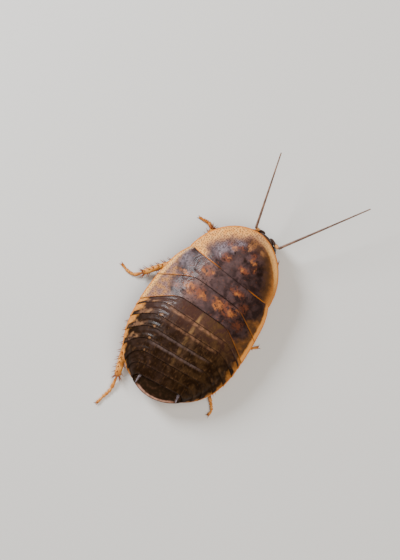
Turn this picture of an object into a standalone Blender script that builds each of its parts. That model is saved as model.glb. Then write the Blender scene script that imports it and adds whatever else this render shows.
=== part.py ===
"""A late nymph of a broad, wingless wood cockroach, life size, standing flat on its six feet.

The animal is drawn in body coordinates, in millimetres: across (left negative, right positive), along
(tail negative, head positive) and height above the floor. place() bends the body to its right and turns it so
that the head looks along -Y.
"""

import math

import bmesh
import bpy
from mathutils import Vector

MM = 0.001
LEFT, RIGHT = -1, 1
GAP = 0.3  # kept between neighbouring pieces

# Stance
BEND_RADIUS = 104.0  # of the arc that the midline follows
BEND_STATION = -1.8  # where the midline runs straight along Y
BODY_SHIFT = (1.17, -2.58)  # puts the middle of the whole animal's box over the origin

# Outline of the body, seen from above
WIDEST = -4.0  # station of the greatest width
HALF_WIDTH = 9.2
FRONT_REACH, FRONT_POWER = 18.2, 2.2
REAR_REACH, REAR_POWER = 11.2, 2.3

# Pronotum: half a superellipse with a straight rear margin
SHIELD_REAR = 6.2
SHIELD_CENTRE = 5.6
SHIELD_HALF_WIDTH = 7.6
SHIELD_REACH = 8.6
SHIELD_POWER = 1.9
SHIELD_FRONT_SPAN = 70.0  # degrees of the outline, each way, that count as its front margin

# Rear margins: station at the midline, and how far back the corners are drawn out
MESONOTUM_REAR = (3.05, 2.85)
METANOTUM_REAR = (-0.45, 3.5)
TERGITE_REARS = ((-2.4, 2.6), (-4.4, 2.4), (-6.35, 2.5), (-8.15, 2.75), (-10.0, 2.9), (-11.7, 2.1), (-13.3, 1.2))
NOTUM_LOBE = (0.46, 1.12)  # share of the half width where the sweep starts, and its power
TERGITE_LOBE = (0.56, 1.5)
SHOULDER = 0.45  # by which the mesonotum is narrowed at its front corners
CORNER_STEP = 0.1  # by which each tergite's rear corner stands out

# Heights
MARGIN_HEIGHT, MARGIN_SLOPE = 3.6, 0.06  # of the side margins, and its rise towards the head
DOME_HEIGHT = 4.0
DOME_TOP = -3.0
DOME_FRONT = SHIELD_CENTRE + SHIELD_REACH - DOME_TOP
DOME_REAR = 12.6
DOME_POWER, DOME_FULLNESS = 2.4, 0.75
ARCH_POWER, ARCH_FULLNESS = 2.3, 1.1
PLATE_EDGE, PLATE_MIDDLE = 0.5, 0.85  # thickness of the plates
PLATE_LIFT, TERGITE_LIFT = 0.24, 0.18  # by which the rear margins stand over what follows
MARGIN_EDGE = 0.4
BELLY_DEPTH, BELLY_FRONT_DEPTH = 1.35, 0.3
STERNITE_LIFT = 0.12

# Core of the thorax, between the plates and the coxae
CORE_BOTTOM = 2.45
CORE_HALF_WIDTH, CORE_NECK_HALF_WIDTH = 4.3, 1.9
CORE_FRONT = 12.5
CORE_UNDERCUT = 1.6  # by which its front face leans, to lie along the back of the head

# Last plate and cerci
ANAL_HALF_WIDTH, ANAL_LENGTH, ANAL_POWER = 3.75, 2.2, 2.5
CERCUS_LENGTH, CERCUS_RADIUS = 1.15, 0.26

# Head: a flattened pear that leans back from the crown to the mouth
HEAD_SHIFT = 0.4  # turned a little to the right
CROWN = (14.35, 3.2)  # station and height
MOUTH = (11.35, 0.85)
HEAD_HALF_WIDTH, HEAD_HALF_DEPTH = 2.25, 1.05
EYE_CENTRE, EYE_REACH, EYE_SPREAD = 0.33, 0.21, 0.5  # shares of the head's length, and an angle
EYE_HEIGHT = 0.27
PALP_RADIUS = 0.27
PALP_ROUTE = ((0.0, 0.0, 0.0), (0.42, 0.1, -0.02), (0.7, 0.7, 0.0), (0.65, 1.3, -0.15), (0.5, 1.7, -0.5))
LABIAL_RADII = (0.2, 0.22, 0.24, 0.2, 0.22, 0.22, 0.14)

# Feelers
ANTENNA_TIPS = {LEFT: (-7.24, 24.5, 5.2), RIGHT: (7.98, 29.34, 5.0)}
ANTENNA_ROOTS = {LEFT: (-1.75, 14.55), RIGHT: (2.6, 14.55)}
SOCKET, SOCKET_TURN = 0.2, 0.42  # share of the head's length, and the angle off its middle line
SCAPE_TOP = 3.35
SCAPE_RADIUS, FLAGELLUM_RADIUS, ANTENNA_TIP_RADIUS = 0.34, 0.25, 0.12
ANTENNA_BEADS = 22
ANTENNA_BOW = 0.35

# Legs. Each has its hip (across, along), then trochanter, knee, ankle and three points of the foot
# (across, along, height); across is counted outwards from the midline
LEGS = {
    "front_left": (
        (1.6, 10.3), (2.7, 7.0, 1.45), (6.0, 7.6, 2.3), (6.75, 10.1, 0.66),
        (7.6, 10.35, 0.3), (8.6, 10.2, 0.2), (9.2, 10.1, 0.22),
    ),
    "front_right": (
        (1.6, 10.3), (2.7, 7.0, 1.45), (5.9, 7.5, 2.3), (5.5, 10.0, 0.66),
        (5.2, 10.9, 0.3), (4.7, 11.9, 0.2), (4.35, 12.6, 0.22),
    ),
    "middle_left": (
        (1.65, 6.1), (2.9, 2.4, 1.4), (7.8, 3.35, 2.3), (11.0, -0.8, 0.7),
        (11.9, -1.65, 0.28), (13.1, -1.75, 0.2), (14.3, -1.45, 0.22),
    ),
    "middle_right": (
        (1.65, 6.1), (2.9, 2.4, 1.4), (7.0, 4.2, 2.3), (7.5, -0.7, 0.7),
        (8.0, -1.3, 0.28), (9.0, -1.1, 0.2), (9.95, -0.2, 0.22),
    ),
    "hind_left": (
        (1.75, 1.55), (3.4, -2.3, 1.1), (8.75, -6.1, 1.72), (6.3, -15.3, 0.72),
        (6.35, -17.3, 0.26), (6.95, -18.8, 0.2), (7.4, -19.9, 0.22),
    ),
    "hind_right": (
        (1.75, 1.55), (3.4, -2.3, 1.1), (8.0, -3.9, 1.72), (7.2, -11.1, 0.72),
        (8.15, -12.1, 0.26), (8.85, -13.3, 0.2), (8.75, -14.2, 0.22),
    ),
}
# Half widths in plan and half thicknesses of the segments, and the spines on each tibia
SEGMENTS = {
    "front": dict(coxa=(1.05, 0.5), femur=(0.6, 0.46), tibia=(0.34, 0.32), spines=6),
    "middle": dict(coxa=(1.15, 0.52), femur=(0.7, 0.48), tibia=(0.4, 0.36), spines=8),
    "hind": dict(coxa=(1.25, 0.54), femur=(0.8, 0.46), tibia=(0.47, 0.4), spines=12),
}
TARSUS_RADIUS = 0.26
SPINE_RADIUS, SPINE_LENGTH = 0.22, 0.85
CLAW_LENGTH, CLAW_RADIUS = 0.6, 0.16

COLOURS = {
    "shell": (0.10, 0.055, 0.035),
    "shield": (0.16, 0.085, 0.045),
    "face": (0.07, 0.035, 0.02),
    "belly": (0.42, 0.20, 0.07),
    "leg": (0.58, 0.27, 0.07),
    "spine": (0.30, 0.09, 0.03),
    "feeler": (0.20, 0.10, 0.05),
    "eye": (0.02, 0.015, 0.012),
}


def place(across, along, height):
    """A point of the animal in the part's frame, in metres."""
    turn = (along - BEND_STATION) / BEND_RADIUS
    reach = BEND_RADIUS - across
    x = BEND_RADIUS - reach * math.cos(turn) + BODY_SHIFT[0]
    y = BEND_STATION + reach * math.sin(turn) + BODY_SHIFT[1]
    return Vector((-x * MM, -y * MM, max(height, 0.0) * MM))


def superellipse(share, power):
    """Half width, as a share of the greatest, at a share of the way to the end."""
    return max(0.0, 1 - min(1.0, abs(share)) ** power) ** (1 / power)


def body_half_width(along):
    if along > WIDEST:
        return HALF_WIDTH * superellipse((along - WIDEST) / FRONT_REACH, FRONT_POWER)
    return HALF_WIDTH * superellipse((WIDEST - along) / REAR_REACH, REAR_POWER)


def shield_half_width(along):
    return SHIELD_HALF_WIDTH * superellipse(
        (along - SHIELD_CENTRE) / SHIELD_REACH, SHIELD_POWER
    )


def shield_share(across, along):
    """How far out a point of the pronotum lies: 0 in the middle, 1 on its curved margin."""
    ahead = max(0.0, along - SHIELD_CENTRE) / SHIELD_REACH
    return ((abs(across) / SHIELD_HALF_WIDTH) ** SHIELD_POWER + ahead**SHIELD_POWER) ** (1 / SHIELD_POWER)


def margin_height(along):
    return MARGIN_HEIGHT + MARGIN_SLOPE * along


def arch(share):
    """Cross-section of the back: 1 at the midline, 0 at the side margin."""
    return max(0.0, 1 - min(1.0, abs(share)) ** ARCH_POWER) ** ARCH_FULLNESS


def dome(across, along, half_width=body_half_width):
    """Height of the back, without the raised rear margins."""
    reach = DOME_FRONT if along > DOME_TOP else DOME_REAR
    ridge = max(0.0, 1 - (abs(along - DOME_TOP) / reach) ** DOME_POWER) ** DOME_FULLNESS
    share = across / max(half_width(along), 0.001)
    return margin_height(along) + DOME_HEIGHT * ridge * arch(share)


def margin(rear, lobe, v):
    """Station of a rear margin at v, the share of the way out from the midline."""
    middle, swept = rear
    start, power = lobe
    return middle - swept * max(0.0, (abs(v) - start) / (1 - start)) ** power


def material(name):
    made = bpy.data.materials.get(name)
    if made is None:
        made = bpy.data.materials.new(name)
        made.use_nodes = True
        shader = made.node_tree.nodes["Principled BSDF"]
        shader.inputs["Base Color"].default_value = (*COLOURS[name], 1.0)
        shader.inputs["Roughness"].default_value = 0.35
        shader.inputs["Metallic"].default_value = 0.0
    return made


def add_object(name, points, faces, finish):
    """A closed mesh object, its faces pointing out."""
    mesh = bpy.data.meshes.new(name)
    mesh.from_pydata(points, [], faces)
    shape = bmesh.new()
    shape.from_mesh(mesh)
    bmesh.ops.recalc_face_normals(shape, faces=shape.faces)
    bmesh.ops.triangulate(shape, faces=shape.faces)
    if shape.calc_volume(signed=True) < 0:
        bmesh.ops.reverse_faces(shape, faces=shape.faces)
    shape.to_mesh(mesh)
    shape.free()
    mesh.materials.append(material(finish))
    mesh.shade_smooth()
    mesh.set_sharp_from_angle(angle=math.radians(40))
    made = bpy.data.objects.new(name, mesh)
    bpy.context.scene.collection.objects.link(made)
    return made


def keep_largest(target):
    """Drops loose scraps and sealed hollows: only the surface of greatest volume stays."""
    shape = bmesh.new()
    shape.from_mesh(target.data)
    shape.faces.ensure_lookup_table()
    seen, shells = set(), []
    for start in shape.faces:
        if start.index in seen:
            continue
        shell, queue = [], [start]
        seen.add(start.index)
        while queue:
            face = queue.pop()
            shell.append(face)
            for edge in face.edges:
                for other in edge.link_faces:
                    if other.index not in seen:
                        seen.add(other.index)
                        queue.append(other)
        shells.append(shell)

    def volume(shell):
        total = 0.0
        for face in shell:
            a, b, c = (loop.vert.co for loop in face.loops)
            total += a.dot(b.cross(c)) / 6
        return total

    bmesh.ops.triangulate(shape, faces=shape.faces)
    if len(shells) > 1:
        shells.sort(key=volume)
        scraps = [face for shell in shells[:-1] for face in shell]
        bmesh.ops.delete(shape, geom=scraps, context="FACES")
    shape.to_mesh(target.data)
    shape.free()


def combine(target, others, operation="UNION"):
    """One Boolean on a collection of closed pieces, applied, and the pieces removed."""
    group = bpy.data.collections.new(target.name + "_pieces")
    for other in others:
        bpy.context.scene.collection.objects.unlink(other)
        group.objects.link(other)
    bpy.context.scene.collection.children.link(group)
    step = target.modifiers.new("join", "BOOLEAN")
    step.operation = operation
    step.solver = "EXACT"
    step.operand_type = "COLLECTION"
    step.collection = group
    graph = bpy.context.evaluated_depsgraph_get()
    joined = bpy.data.meshes.new_from_object(target.evaluated_get(graph))
    target.modifiers.clear()
    target.data = joined
    for other in others:
        bpy.data.objects.remove(other)
    bpy.data.collections.remove(group)
    shape = bmesh.new()
    shape.from_mesh(joined)
    bmesh.ops.triangulate(shape, faces=shape.faces)
    shape.to_mesh(joined)
    shape.free()
    keep_largest(target)
    return target


def slab(name, station, top, bottom, rows, columns, finish, undercut=0.0):
    """A closed plate over a grid: station(t, v) gives across and along, top and bottom give heights."""
    ts = rows if isinstance(rows, list) else [i / rows for i in range(rows + 1)]
    vs = [2 * j / columns - 1 for j in range(columns + 1)]
    wide = len(vs)
    points = []
    for surface in (top, bottom):
        for t in ts:
            for v in vs:
                across, along = station(t, v)
                height = surface(across, along, t, v)
                if undercut and surface is bottom:
                    along -= undercut * (1 - t) ** 6
                points.append(place(across, along, height))
    under = len(ts) * wide
    faces = []
    for i in range(len(ts) - 1):
        for j in range(wide - 1):
            a = i * wide + j
            faces.append((a, a + 1, a + wide + 1, a + wide))
            faces.append((under + a, under + a + wide, under + a + wide + 1, under + a + 1))
    last = (len(ts) - 1) * wide
    for j in range(wide - 1):
        faces.append((j, under + j, under + j + 1, j + 1))
        faces.append((last + j, last + j + 1, under + last + j + 1, under + last + j))
    for i in range(len(ts) - 1):
        for a in (i * wide, i * wide + wide - 1):
            faces.append((a, a + wide, under + a + wide, under + a))
    return add_object(name, points, faces, finish)


def tube(name, centres, halves, finish, sides=8, start_normal=None, end_normal=None):
    """A closed limb of oval section through centres; the end rings lie in the given planes."""
    rings = []
    count = len(centres)
    for i, (centre, (half_width, half_height)) in enumerate(zip(centres, halves)):
        ahead = centres[min(i + 1, count - 1)] - centres[max(i - 1, 0)]
        ahead.normalize()
        side = ahead.cross(Vector((0, 0, 1)))
        if side.length < 0.1:
            side = ahead.cross(Vector((0, 1, 0)))
        side.normalize()
        up = side.cross(ahead)
        normal = start_normal if i == 0 else end_normal if i == count - 1 else None
        ring = []
        for k in range(sides):
            angle = 2 * math.pi * (k + 0.5) / sides
            point = (
                centre
                + side * (half_width * MM * math.cos(angle))
                + up * (half_height * MM * math.sin(angle))
            )
            if normal is not None:
                point += ahead * ((centre - point).dot(normal) / ahead.dot(normal))
            point.z = max(point.z, 0.0)
            ring.append(point)
        rings.append(ring)
    points = [point for ring in rings for point in ring]
    faces = []
    for i in range(count - 1):
        for k in range(sides):
            a, b = i * sides + k, i * sides + (k + 1) % sides
            faces.append((a, b, b + sides, a + sides))
    faces.append(tuple(range(sides)))
    faces.append(tuple(range((count - 1) * sides, count * sides)))
    return add_object(name, points, faces, finish)


def cone(root, tip, radius, finish, sides=5):
    """A pointed spine whose root is sunk into what carries it."""
    axis = (tip - root).normalized()
    side = axis.orthogonal().normalized()
    other = axis.cross(side)
    points = [
        root
        + side * (radius * MM * math.cos(2 * math.pi * k / sides))
        + other * (radius * MM * math.sin(2 * math.pi * k / sides))
        for k in range(sides)
    ]
    points.append(tip)
    faces = [(k, (k + 1) % sides, sides) for k in range(sides)]
    faces.append(tuple(range(sides)))
    return add_object("spine", points, faces, finish)


def blend_points(a, b, count, bow=0.0):
    """Points from a to b, bowed upwards in the middle by bow millimetres."""
    lift = Vector((0, 0, bow * MM))
    return [
        a.lerp(b, i / count) + lift * math.sin(math.pi * i / count)
        for i in range(count + 1)
    ]


def smooth_path(corners, count):
    """A Catmull-Rom curve through the corners, count points to each stretch."""
    ends = [corners[0] * 2 - corners[1], *corners, corners[-1] * 2 - corners[-2]]
    path = []
    for i in range(1, len(ends) - 2):
        p0, p1, p2, p3 = ends[i - 1 : i + 3]
        for k in range(count):
            t = k / count
            path.append(
                0.5
                * (
                    2 * p1
                    + (p2 - p0) * t
                    + (2 * p0 - 5 * p1 + 4 * p2 - p3) * t * t
                    + (3 * p1 - p0 - 3 * p2 + p3) * t * t * t
                )
            )
    return [*path, corners[-1]]


def evenly(path, count):
    """count + 1 points at equal steps along a path."""
    reached = [0.0]
    for a, b in zip(path, path[1:]):
        reached.append(reached[-1] + (b - a).length)
    points = [path[0]]
    i = 0
    for k in range(1, count):
        target = reached[-1] * k / count
        while reached[i + 1] < target:
            i += 1
        share = (target - reached[i]) / (reached[i + 1] - reached[i])
        points.append(path[i].lerp(path[i + 1], share))
    return [*points, path[-1]]


def plate_bottom(thin, thick):
    """Height of a plate's underside: thin at its sides, thick at the midline."""

    def height(across, along, t, v):
        return dome(across, along) - thin - (thick - thin) * arch(v)

    return height


def make_pronotum():
    def outline(angle):
        side, ahead = math.sin(angle), math.cos(angle)
        power = 2 / SHIELD_POWER
        across = SHIELD_HALF_WIDTH * math.copysign(abs(side) ** power, side)
        return Vector((across, SHIELD_CENTRE + SHIELD_REACH * max(ahead, 0.0) ** power))

    rear_angle = math.acos(((SHIELD_REAR - SHIELD_CENTRE) / SHIELD_REACH) ** (SHIELD_POWER / 2))
    front_angle = math.radians(SHIELD_FRONT_SPAN)
    corner = outline(rear_angle).x

    def side_curve(t, sign):
        return outline(sign * (front_angle + (rear_angle - front_angle) * t))

    def station(t, v):
        front = outline(v * front_angle)
        rear = Vector((v * corner, SHIELD_REAR))
        point = front.lerp(rear, t)
        for sign, share in ((LEFT, (1 - v) / 2), (RIGHT, (1 + v) / 2)):
            straight = side_curve(0, sign).lerp(side_curve(1, sign), t)
            point += (side_curve(t, sign) - straight) * share
        return point.x, point.y

    def top(across, along, t, v):
        return dome(across, along, shield_half_width) + PLATE_LIFT * t * t

    def bottom(across, along, t, v):
        thick = PLATE_EDGE + (PLATE_MIDDLE - PLATE_EDGE) * arch(shield_share(across, along))
        return dome(across, along, shield_half_width) - thick

    return slab("pronotum", station, top, bottom, 9, 24, "shield")


def make_notum(name, front, rear, shoulder, rows):
    """A broad plate whose rear corners are drawn out into the wing pads."""

    def station(t, v):
        start = margin(front, NOTUM_LOBE, v) - GAP
        along = start + t * (margin(rear, NOTUM_LOBE, v) - start)
        return v * (body_half_width(along) - shoulder * max(0.0, 1 - 2 * t) ** 2), along

    def top(across, along, t, v):
        return dome(across, along) + PLATE_LIFT * t * t

    return slab(name, station, top, plate_bottom(PLATE_EDGE, PLATE_MIDDLE), rows, 28, "shell")


def make_abdomen():
    """Seven overlapping tergites above and sternites below, each step in the body's own surface."""
    steps = []
    front, front_lobe, offset = METANOTUM_REAR, NOTUM_LOBE, GAP
    for rear in TERGITE_REARS:
        for share in (0.0, 0.5, 1.0):
            steps.append((front, front_lobe, offset, rear, share))
        front, front_lobe, offset = rear, TERGITE_LOBE, 0.07

    def station(row, v):
        front, front_lobe, offset, rear, share = steps[row]
        start = margin(front, front_lobe, v) - offset
        along = start + share * (margin(rear, TERGITE_LOBE, v) - start)
        return v * (body_half_width(along) + CORNER_STEP * (share - 0.5)), along

    def top(across, along, row, v):
        return dome(across, along) + TERGITE_LIFT * steps[row][4] ** 2

    def bottom(across, along, row, v):
        fullness = min(1.0, max(0.0, (METANOTUM_REAR[0] - along) / 3.5))
        depth = BELLY_FRONT_DEPTH + (BELLY_DEPTH - BELLY_FRONT_DEPTH) * fullness
        depth += STERNITE_LIFT * steps[row][4]
        share = across / max(body_half_width(along), 0.001)
        return margin_height(along) - MARGIN_EDGE - depth * arch(share)

    return slab("abdomen", station, top, bottom, list(range(len(steps))), 28, "shell")


def make_anal_plate():
    """The broad last plate, between the cerci."""

    def station(t, v):
        half = ANAL_HALF_WIDTH * superellipse(0.97 * t, ANAL_POWER)
        front = margin(TERGITE_REARS[-1], TERGITE_LOBE, v * half / body_half_width(-13.5))
        return v * half, front - GAP - ANAL_LENGTH * t

    def top(across, along, t, v):
        return margin_height(along) + 0.2 + (1.3 - 0.9 * t) * arch(v)

    def bottom(across, along, t, v):
        return margin_height(along) - 0.35 - 0.5 * arch(v) * (1 - 0.5 * t)

    return slab("anal_plate", station, top, bottom, 8, 16, "shell")


def make_core():
    """The narrow underside of the thorax, which carries the plates above and the coxae below."""
    rear = METANOTUM_REAR[0] + 0.1

    def station(t, v):
        along = CORE_FRONT + (rear - CORE_FRONT) * t
        half = CORE_HALF_WIDTH - (CORE_HALF_WIDTH - CORE_NECK_HALF_WIDTH) * max(0, 1 - 3 * t) ** 2
        return v * half, along

    def top(across, along, t, v):
        half_width = shield_half_width if along > SHIELD_REAR else body_half_width
        under = min(dome(across, along, half_width), dome(across, along)) - PLATE_MIDDLE - GAP
        return max(under, CORE_BOTTOM + 0.6)

    def bottom(across, along, t, v):
        return CORE_BOTTOM + 0.4 * abs(v) ** 6

    return slab("thorax", station, top, bottom, 12, 10, "belly", CORE_UNDERCUT)


def head_frame():
    """Crown, mouth and the head's three axes, in the part's frame."""
    crown = place(HEAD_SHIFT, *CROWN)
    mouth = place(HEAD_SHIFT, *MOUTH)
    down = (mouth - crown).normalized()
    side = (place(HEAD_SHIFT + 1, *CROWN) - crown).normalized()
    forward = side.cross(down).normalized()
    return crown, mouth, down, side, forward


def head_point(q, angle, grown=0.0):
    """A point of the head: q runs from crown to mouth, angle from the right side round to the face."""
    crown, mouth, down, side, forward = head_frame()
    rounded = math.sqrt(max(0.0, 1 - (1 - min(1.0, (q + 0.004) / 0.4)) ** 2))
    below = max(0.0, q - 0.4) / 0.6
    half_width = HEAD_HALF_WIDTH * rounded * (1 - 0.6 * below**1.3) + grown
    half_depth = HEAD_HALF_DEPTH * rounded**0.8 * (1 - 0.42 * below) + grown
    return (
        crown.lerp(mouth, q)
        + side * (half_width * MM * math.cos(angle))
        + forward * (half_depth * MM * math.sin(angle))
    )


def lobe(name, points_per_ring, rings, finish):
    """A closed skin over rings of points, the first and last ring capped."""
    points = [point for ring in rings for point in ring]
    faces = []
    for i in range(len(rings) - 1):
        for k in range(points_per_ring):
            a, b = i * points_per_ring + k, i * points_per_ring + (k + 1) % points_per_ring
            faces.append((a, b, b + points_per_ring, a + points_per_ring))
    faces.append(tuple(range(points_per_ring)))
    faces.append(tuple(range((len(rings) - 1) * points_per_ring, len(points))))
    return add_object(name, points, faces, finish)


def make_head():
    """Capsule, with the shield of the face, the upper lip and the jaws beside it raised on it."""
    crown, mouth, down, side, forward = head_frame()
    turns = [2 * math.pi * k / 20 for k in range(20)]
    shares = [0.0, 0.02, 0.06, 0.12, 0.2, 0.3, 0.4, 0.52, 0.64, 0.76, 0.88, 0.97, 1.0]
    head = lobe("head", 20, [[head_point(q, turn) for turn in turns] for q in shares], "face")
    pieces = []

    def pad(sideways, ahead, stretch, half_width, half_depth):
        """An oval pad on the face, centred sideways and ahead of its surface, between two shares."""
        rings = []
        for i in range(7):
            q = stretch[0] + (stretch[1] - stretch[0]) * i / 6
            ring = max(0.25, math.sqrt(max(0.0, 1 - (1 - i / 3) ** 2)))
            centre = head_point(min(q, 1.0), math.pi / 2) + forward * (ahead * MM)
            centre += side * (sideways * MM) + down * (max(0.0, q - 1) * (mouth - crown).length)
            rings.append(
                [
                    centre
                    + side * (half_width * ring * MM * math.cos(math.pi * k / 5))
                    + forward * (half_depth * ring * MM * math.sin(math.pi * k / 5))
                    for k in range(10)
                ]
            )
        pieces.append(lobe("pad", 10, rings, "face"))

    pad(0.0, -0.1, (0.5, 0.86), 0.85, 0.22)
    pad(0.0, -0.08, (0.82, 1.1), 0.72, 0.24)
    for sign in (LEFT, RIGHT):
        pad(sign * 0.78, -0.42, (0.72, 1.06), 0.4, 0.36)
        root = mouth - forward * (0.25 * MM) + side * (sign * 0.35 * MM) - down * (0.3 * MM)
        bend = root + down * (0.55 * MM) + side * (sign * 0.3 * MM) - forward * (0.2 * MM)
        tip = bend + side * (sign * 0.35 * MM) - Vector((0, 0, 0.25 * MM)) + forward * (0.2 * MM)
        path = smooth_path([root, bend, tip], 3)
        pieces.append(tube("palp", path, [(r, r) for r in LABIAL_RADII], "face", 6))
    return combine(head, pieces)


def make_eye(name, sign):
    """A bean-shaped eye that lies on the side of the head and wraps a little onto the face."""
    turn = 0.0 if sign == RIGHT else math.pi
    count = 16

    def ring(share, swell):
        points = []
        for k in range(count):
            angle = 2 * math.pi * k / count
            q = EYE_CENTRE + EYE_REACH * share * math.cos(angle)
            bend = 0.12 * (share * math.cos(angle)) ** 2
            around = EYE_SPREAD * share * math.sin(angle) + bend + 0.1
            points.append(head_point(q, turn + sign * around, GAP + swell))
        return points

    rings = [ring(share, 0.06) for share in (0.02, 0.5, 0.97)]
    for share in (1.0, 0.85, 0.6, 0.3, 0.02):
        rings.append(ring(share, 0.14 + EYE_HEIGHT * math.sqrt(1 - share**2)))
    return lobe(name, count, rings, "eye")


def make_antenna(name, sign):
    """Scape, pedicel and a long beaded flagellum that thins to its tip."""
    forward = head_frame()[-1]
    across, along = ANTENNA_ROOTS[sign]
    turn = math.pi / 2 - sign * SOCKET_TURN
    root = head_point(SOCKET, turn, GAP + 0.15)
    knee = place(across, along, SCAPE_TOP)
    tip = place(*ANTENNA_TIPS[sign])
    stem = root + forward * (0.6 * MM)
    path = [root, root.lerp(stem, 0.5), *smooth_path([stem, stem.lerp(knee, 0.5), knee], 3)]
    shares = (0.7, 0.72, 0.85, 1.0, 1.05, 1.05, 1.0, 0.9, 0.8)
    halves = [(SCAPE_RADIUS * share,) * 2 for share in shares]
    line = blend_points(knee, tip, ANTENNA_BEADS * 2, ANTENNA_BOW)
    for i, point in enumerate(line[1:], 1):
        share = i / len(line)
        thinned = max(0, share - 0.5) / 0.5
        radius = FLAGELLUM_RADIUS + (ANTENNA_TIP_RADIUS - FLAGELLUM_RADIUS) * thinned
        path.append(point)
        halves.append((radius * (1.08 if i % 2 else 0.94),) * 2)
    return tube(name, path, halves, "feeler", 6, start_normal=forward)


def make_palp(name, sign):
    """A beaded palp that reaches forwards from beside the mouth and hangs, with a swollen last joint."""
    crown, mouth, down, side, forward = head_frame()
    out = side * sign
    ahead = Vector((forward.x, forward.y, 0)).normalized()
    turn = 0.0 if sign == RIGHT else math.pi
    root = head_point(0.87, turn - sign * 0.1, GAP + 0.1)
    corners = [
        root + out * (sideways * MM) + ahead * (reach * MM) + Vector((0, 0, rise * MM))
        for sideways, reach, rise in PALP_ROUTE
    ]
    path = smooth_path(corners, 4)
    halves = []
    for i in range(len(path)):
        joint = 0.5 + 0.5 * math.cos(2 * math.pi * i / 4)
        halves.append((PALP_RADIUS * (1 - 0.2 * joint),) * 2)
    return tube(name, path, halves, "leg", 7, start_normal=out)


def make_cercus(name, sign):
    """A short, jointed, pointed cercus that comes out over the last plate's flank."""
    rear = TERGITE_REARS[-1][0]
    root = place(sign * (ANAL_HALF_WIDTH - 0.45), rear - 0.38, margin_height(rear) + 0.9)
    aim = place(sign * (ANAL_HALF_WIDTH - 0.25), rear - 2, margin_height(rear) + 0.75)
    tip = root + (aim - root).normalized() * (CERCUS_LENGTH * MM)
    path = [root.lerp(tip, i / 6) for i in range(7)]
    halves = []
    for i in range(7):
        taper = 1 - (i / 6) ** 2 * 0.75
        halves.append((CERCUS_RADIUS * taper, CERCUS_RADIUS * 0.8 * taper))
    return tube(name, path, halves, "belly", 6)


def mitre(before, joint, after):
    """Normal of the plane that halves the bend at a joint."""
    return ((joint - before).normalized() + (after - joint).normalized()).normalized()


def set_back(point, towards, normal):
    """The end of a segment, half a gap short of the joint's plane."""
    along = (towards - point).normalized()
    return point + along * (GAP / 2 * MM / abs(along.dot(normal)))


def swell(start, middle, end, count, power=1.0):
    """Half widths that rise from start to middle and fall to end."""
    sizes = []
    for i in range(count):
        q = i / (count - 1)
        hump = math.sin(math.pi * q) ** power
        sizes.append(start + (end - start) * q + (middle - (start + end) / 2) * hump)
    return sizes


def make_leg(leg):
    pair, side_name = leg.split("_")
    sign = LEFT if side_name == "left" else RIGHT
    size = SEGMENTS[pair]
    hip, *joints = LEGS[leg]
    hip = place(sign * hip[0], hip[1], CORE_BOTTOM - GAP - size["coxa"][1])
    trochanter, knee, ankle, *toes = (
        place(sign * across, along, height) for across, along, height in joints
    )
    hip_plane = (trochanter - hip).normalized()
    trochanter_plane = mitre(hip, trochanter, knee)
    knee_plane = mitre(trochanter, knee, ankle)
    ankle_plane = mitre(knee, ankle, toes[0])

    def segment(name, a, b, planes, shape, count, finish, sides):
        start, end = set_back(a, b, planes[0]), set_back(b, a, planes[1])
        half_width, half_height = size[name]
        widths = swell(*(half_width * share for share in shape[0]), count)
        heights = swell(*(half_height * share for share in shape[1]), count)
        path = blend_points(start, end, count - 1)
        made = tube(
            f"{name}_{leg}", path, list(zip(widths, heights)), finish, sides, *planes
        )
        return made, start, end

    segment(
        "coxa", hip, trochanter, (hip_plane, trochanter_plane),
        ((0.75, 1.05, 0.4), (0.8, 1.0, 0.65)), 7, "belly", 10,
    )
    segment(
        "femur", trochanter, knee, (trochanter_plane, knee_plane),
        ((0.6, 1.0, 0.6), (0.75, 1.0, 0.75)), 7, "leg", 10,
    )
    tibia, start, end = segment(
        "tibia", knee, ankle, (knee_plane, ankle_plane),
        ((0.85, 1.05, 0.95), (0.9, 1.0, 0.85)), 5, "leg", 8,
    )
    combine(tibia, tibia_spines(start, end, size["tibia"][0], size["spines"], sign))
    make_tarsus(f"tarsus_{leg}", set_back(ankle, toes[0], ankle_plane), toes, ankle_plane)


def tibia_spines(start, end, half_width, count, sign):
    """Spines along both edges of a tibia, leaning to the foot, and a crown of spurs at its end."""
    ahead = (end - start).normalized()
    outward = ahead.cross(Vector((0, 0, 1))).normalized()
    if outward.dot(place(sign * 20, 0, 0) - start) < 0:
        outward = -outward
    up = Vector((0, 0, 1))
    spines = []
    for i in range(count):
        share = 0.14 + 0.72 * i / (count - 1)
        edge = 1 if i % 3 != 1 else -1
        rise = (0.35, -0.1, 0.15)[i % 3]
        root = start.lerp(end, share) + outward * (edge * half_width * 0.35 * MM)
        lean = (outward * edge + ahead * 0.75 + up * rise).normalized()
        reach = SPINE_LENGTH * (0.85 + 0.15 * math.sin(2.4 * i)) + half_width * 0.5
        spines.append(cone(root, root + lean * (reach * MM), SPINE_RADIUS, "spine"))
    for turn in (-0.9, 0.9):
        root = end - ahead * (0.42 * MM) + outward * (turn * half_width * 0.3 * MM)
        lean = (ahead * 1.1 + outward * turn * 1.5 + up * 0.1).normalized()
        spines.append(cone(root, root + lean * (SPINE_LENGTH * 1.1 * MM), SPINE_RADIUS, "spine"))
    return spines


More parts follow.
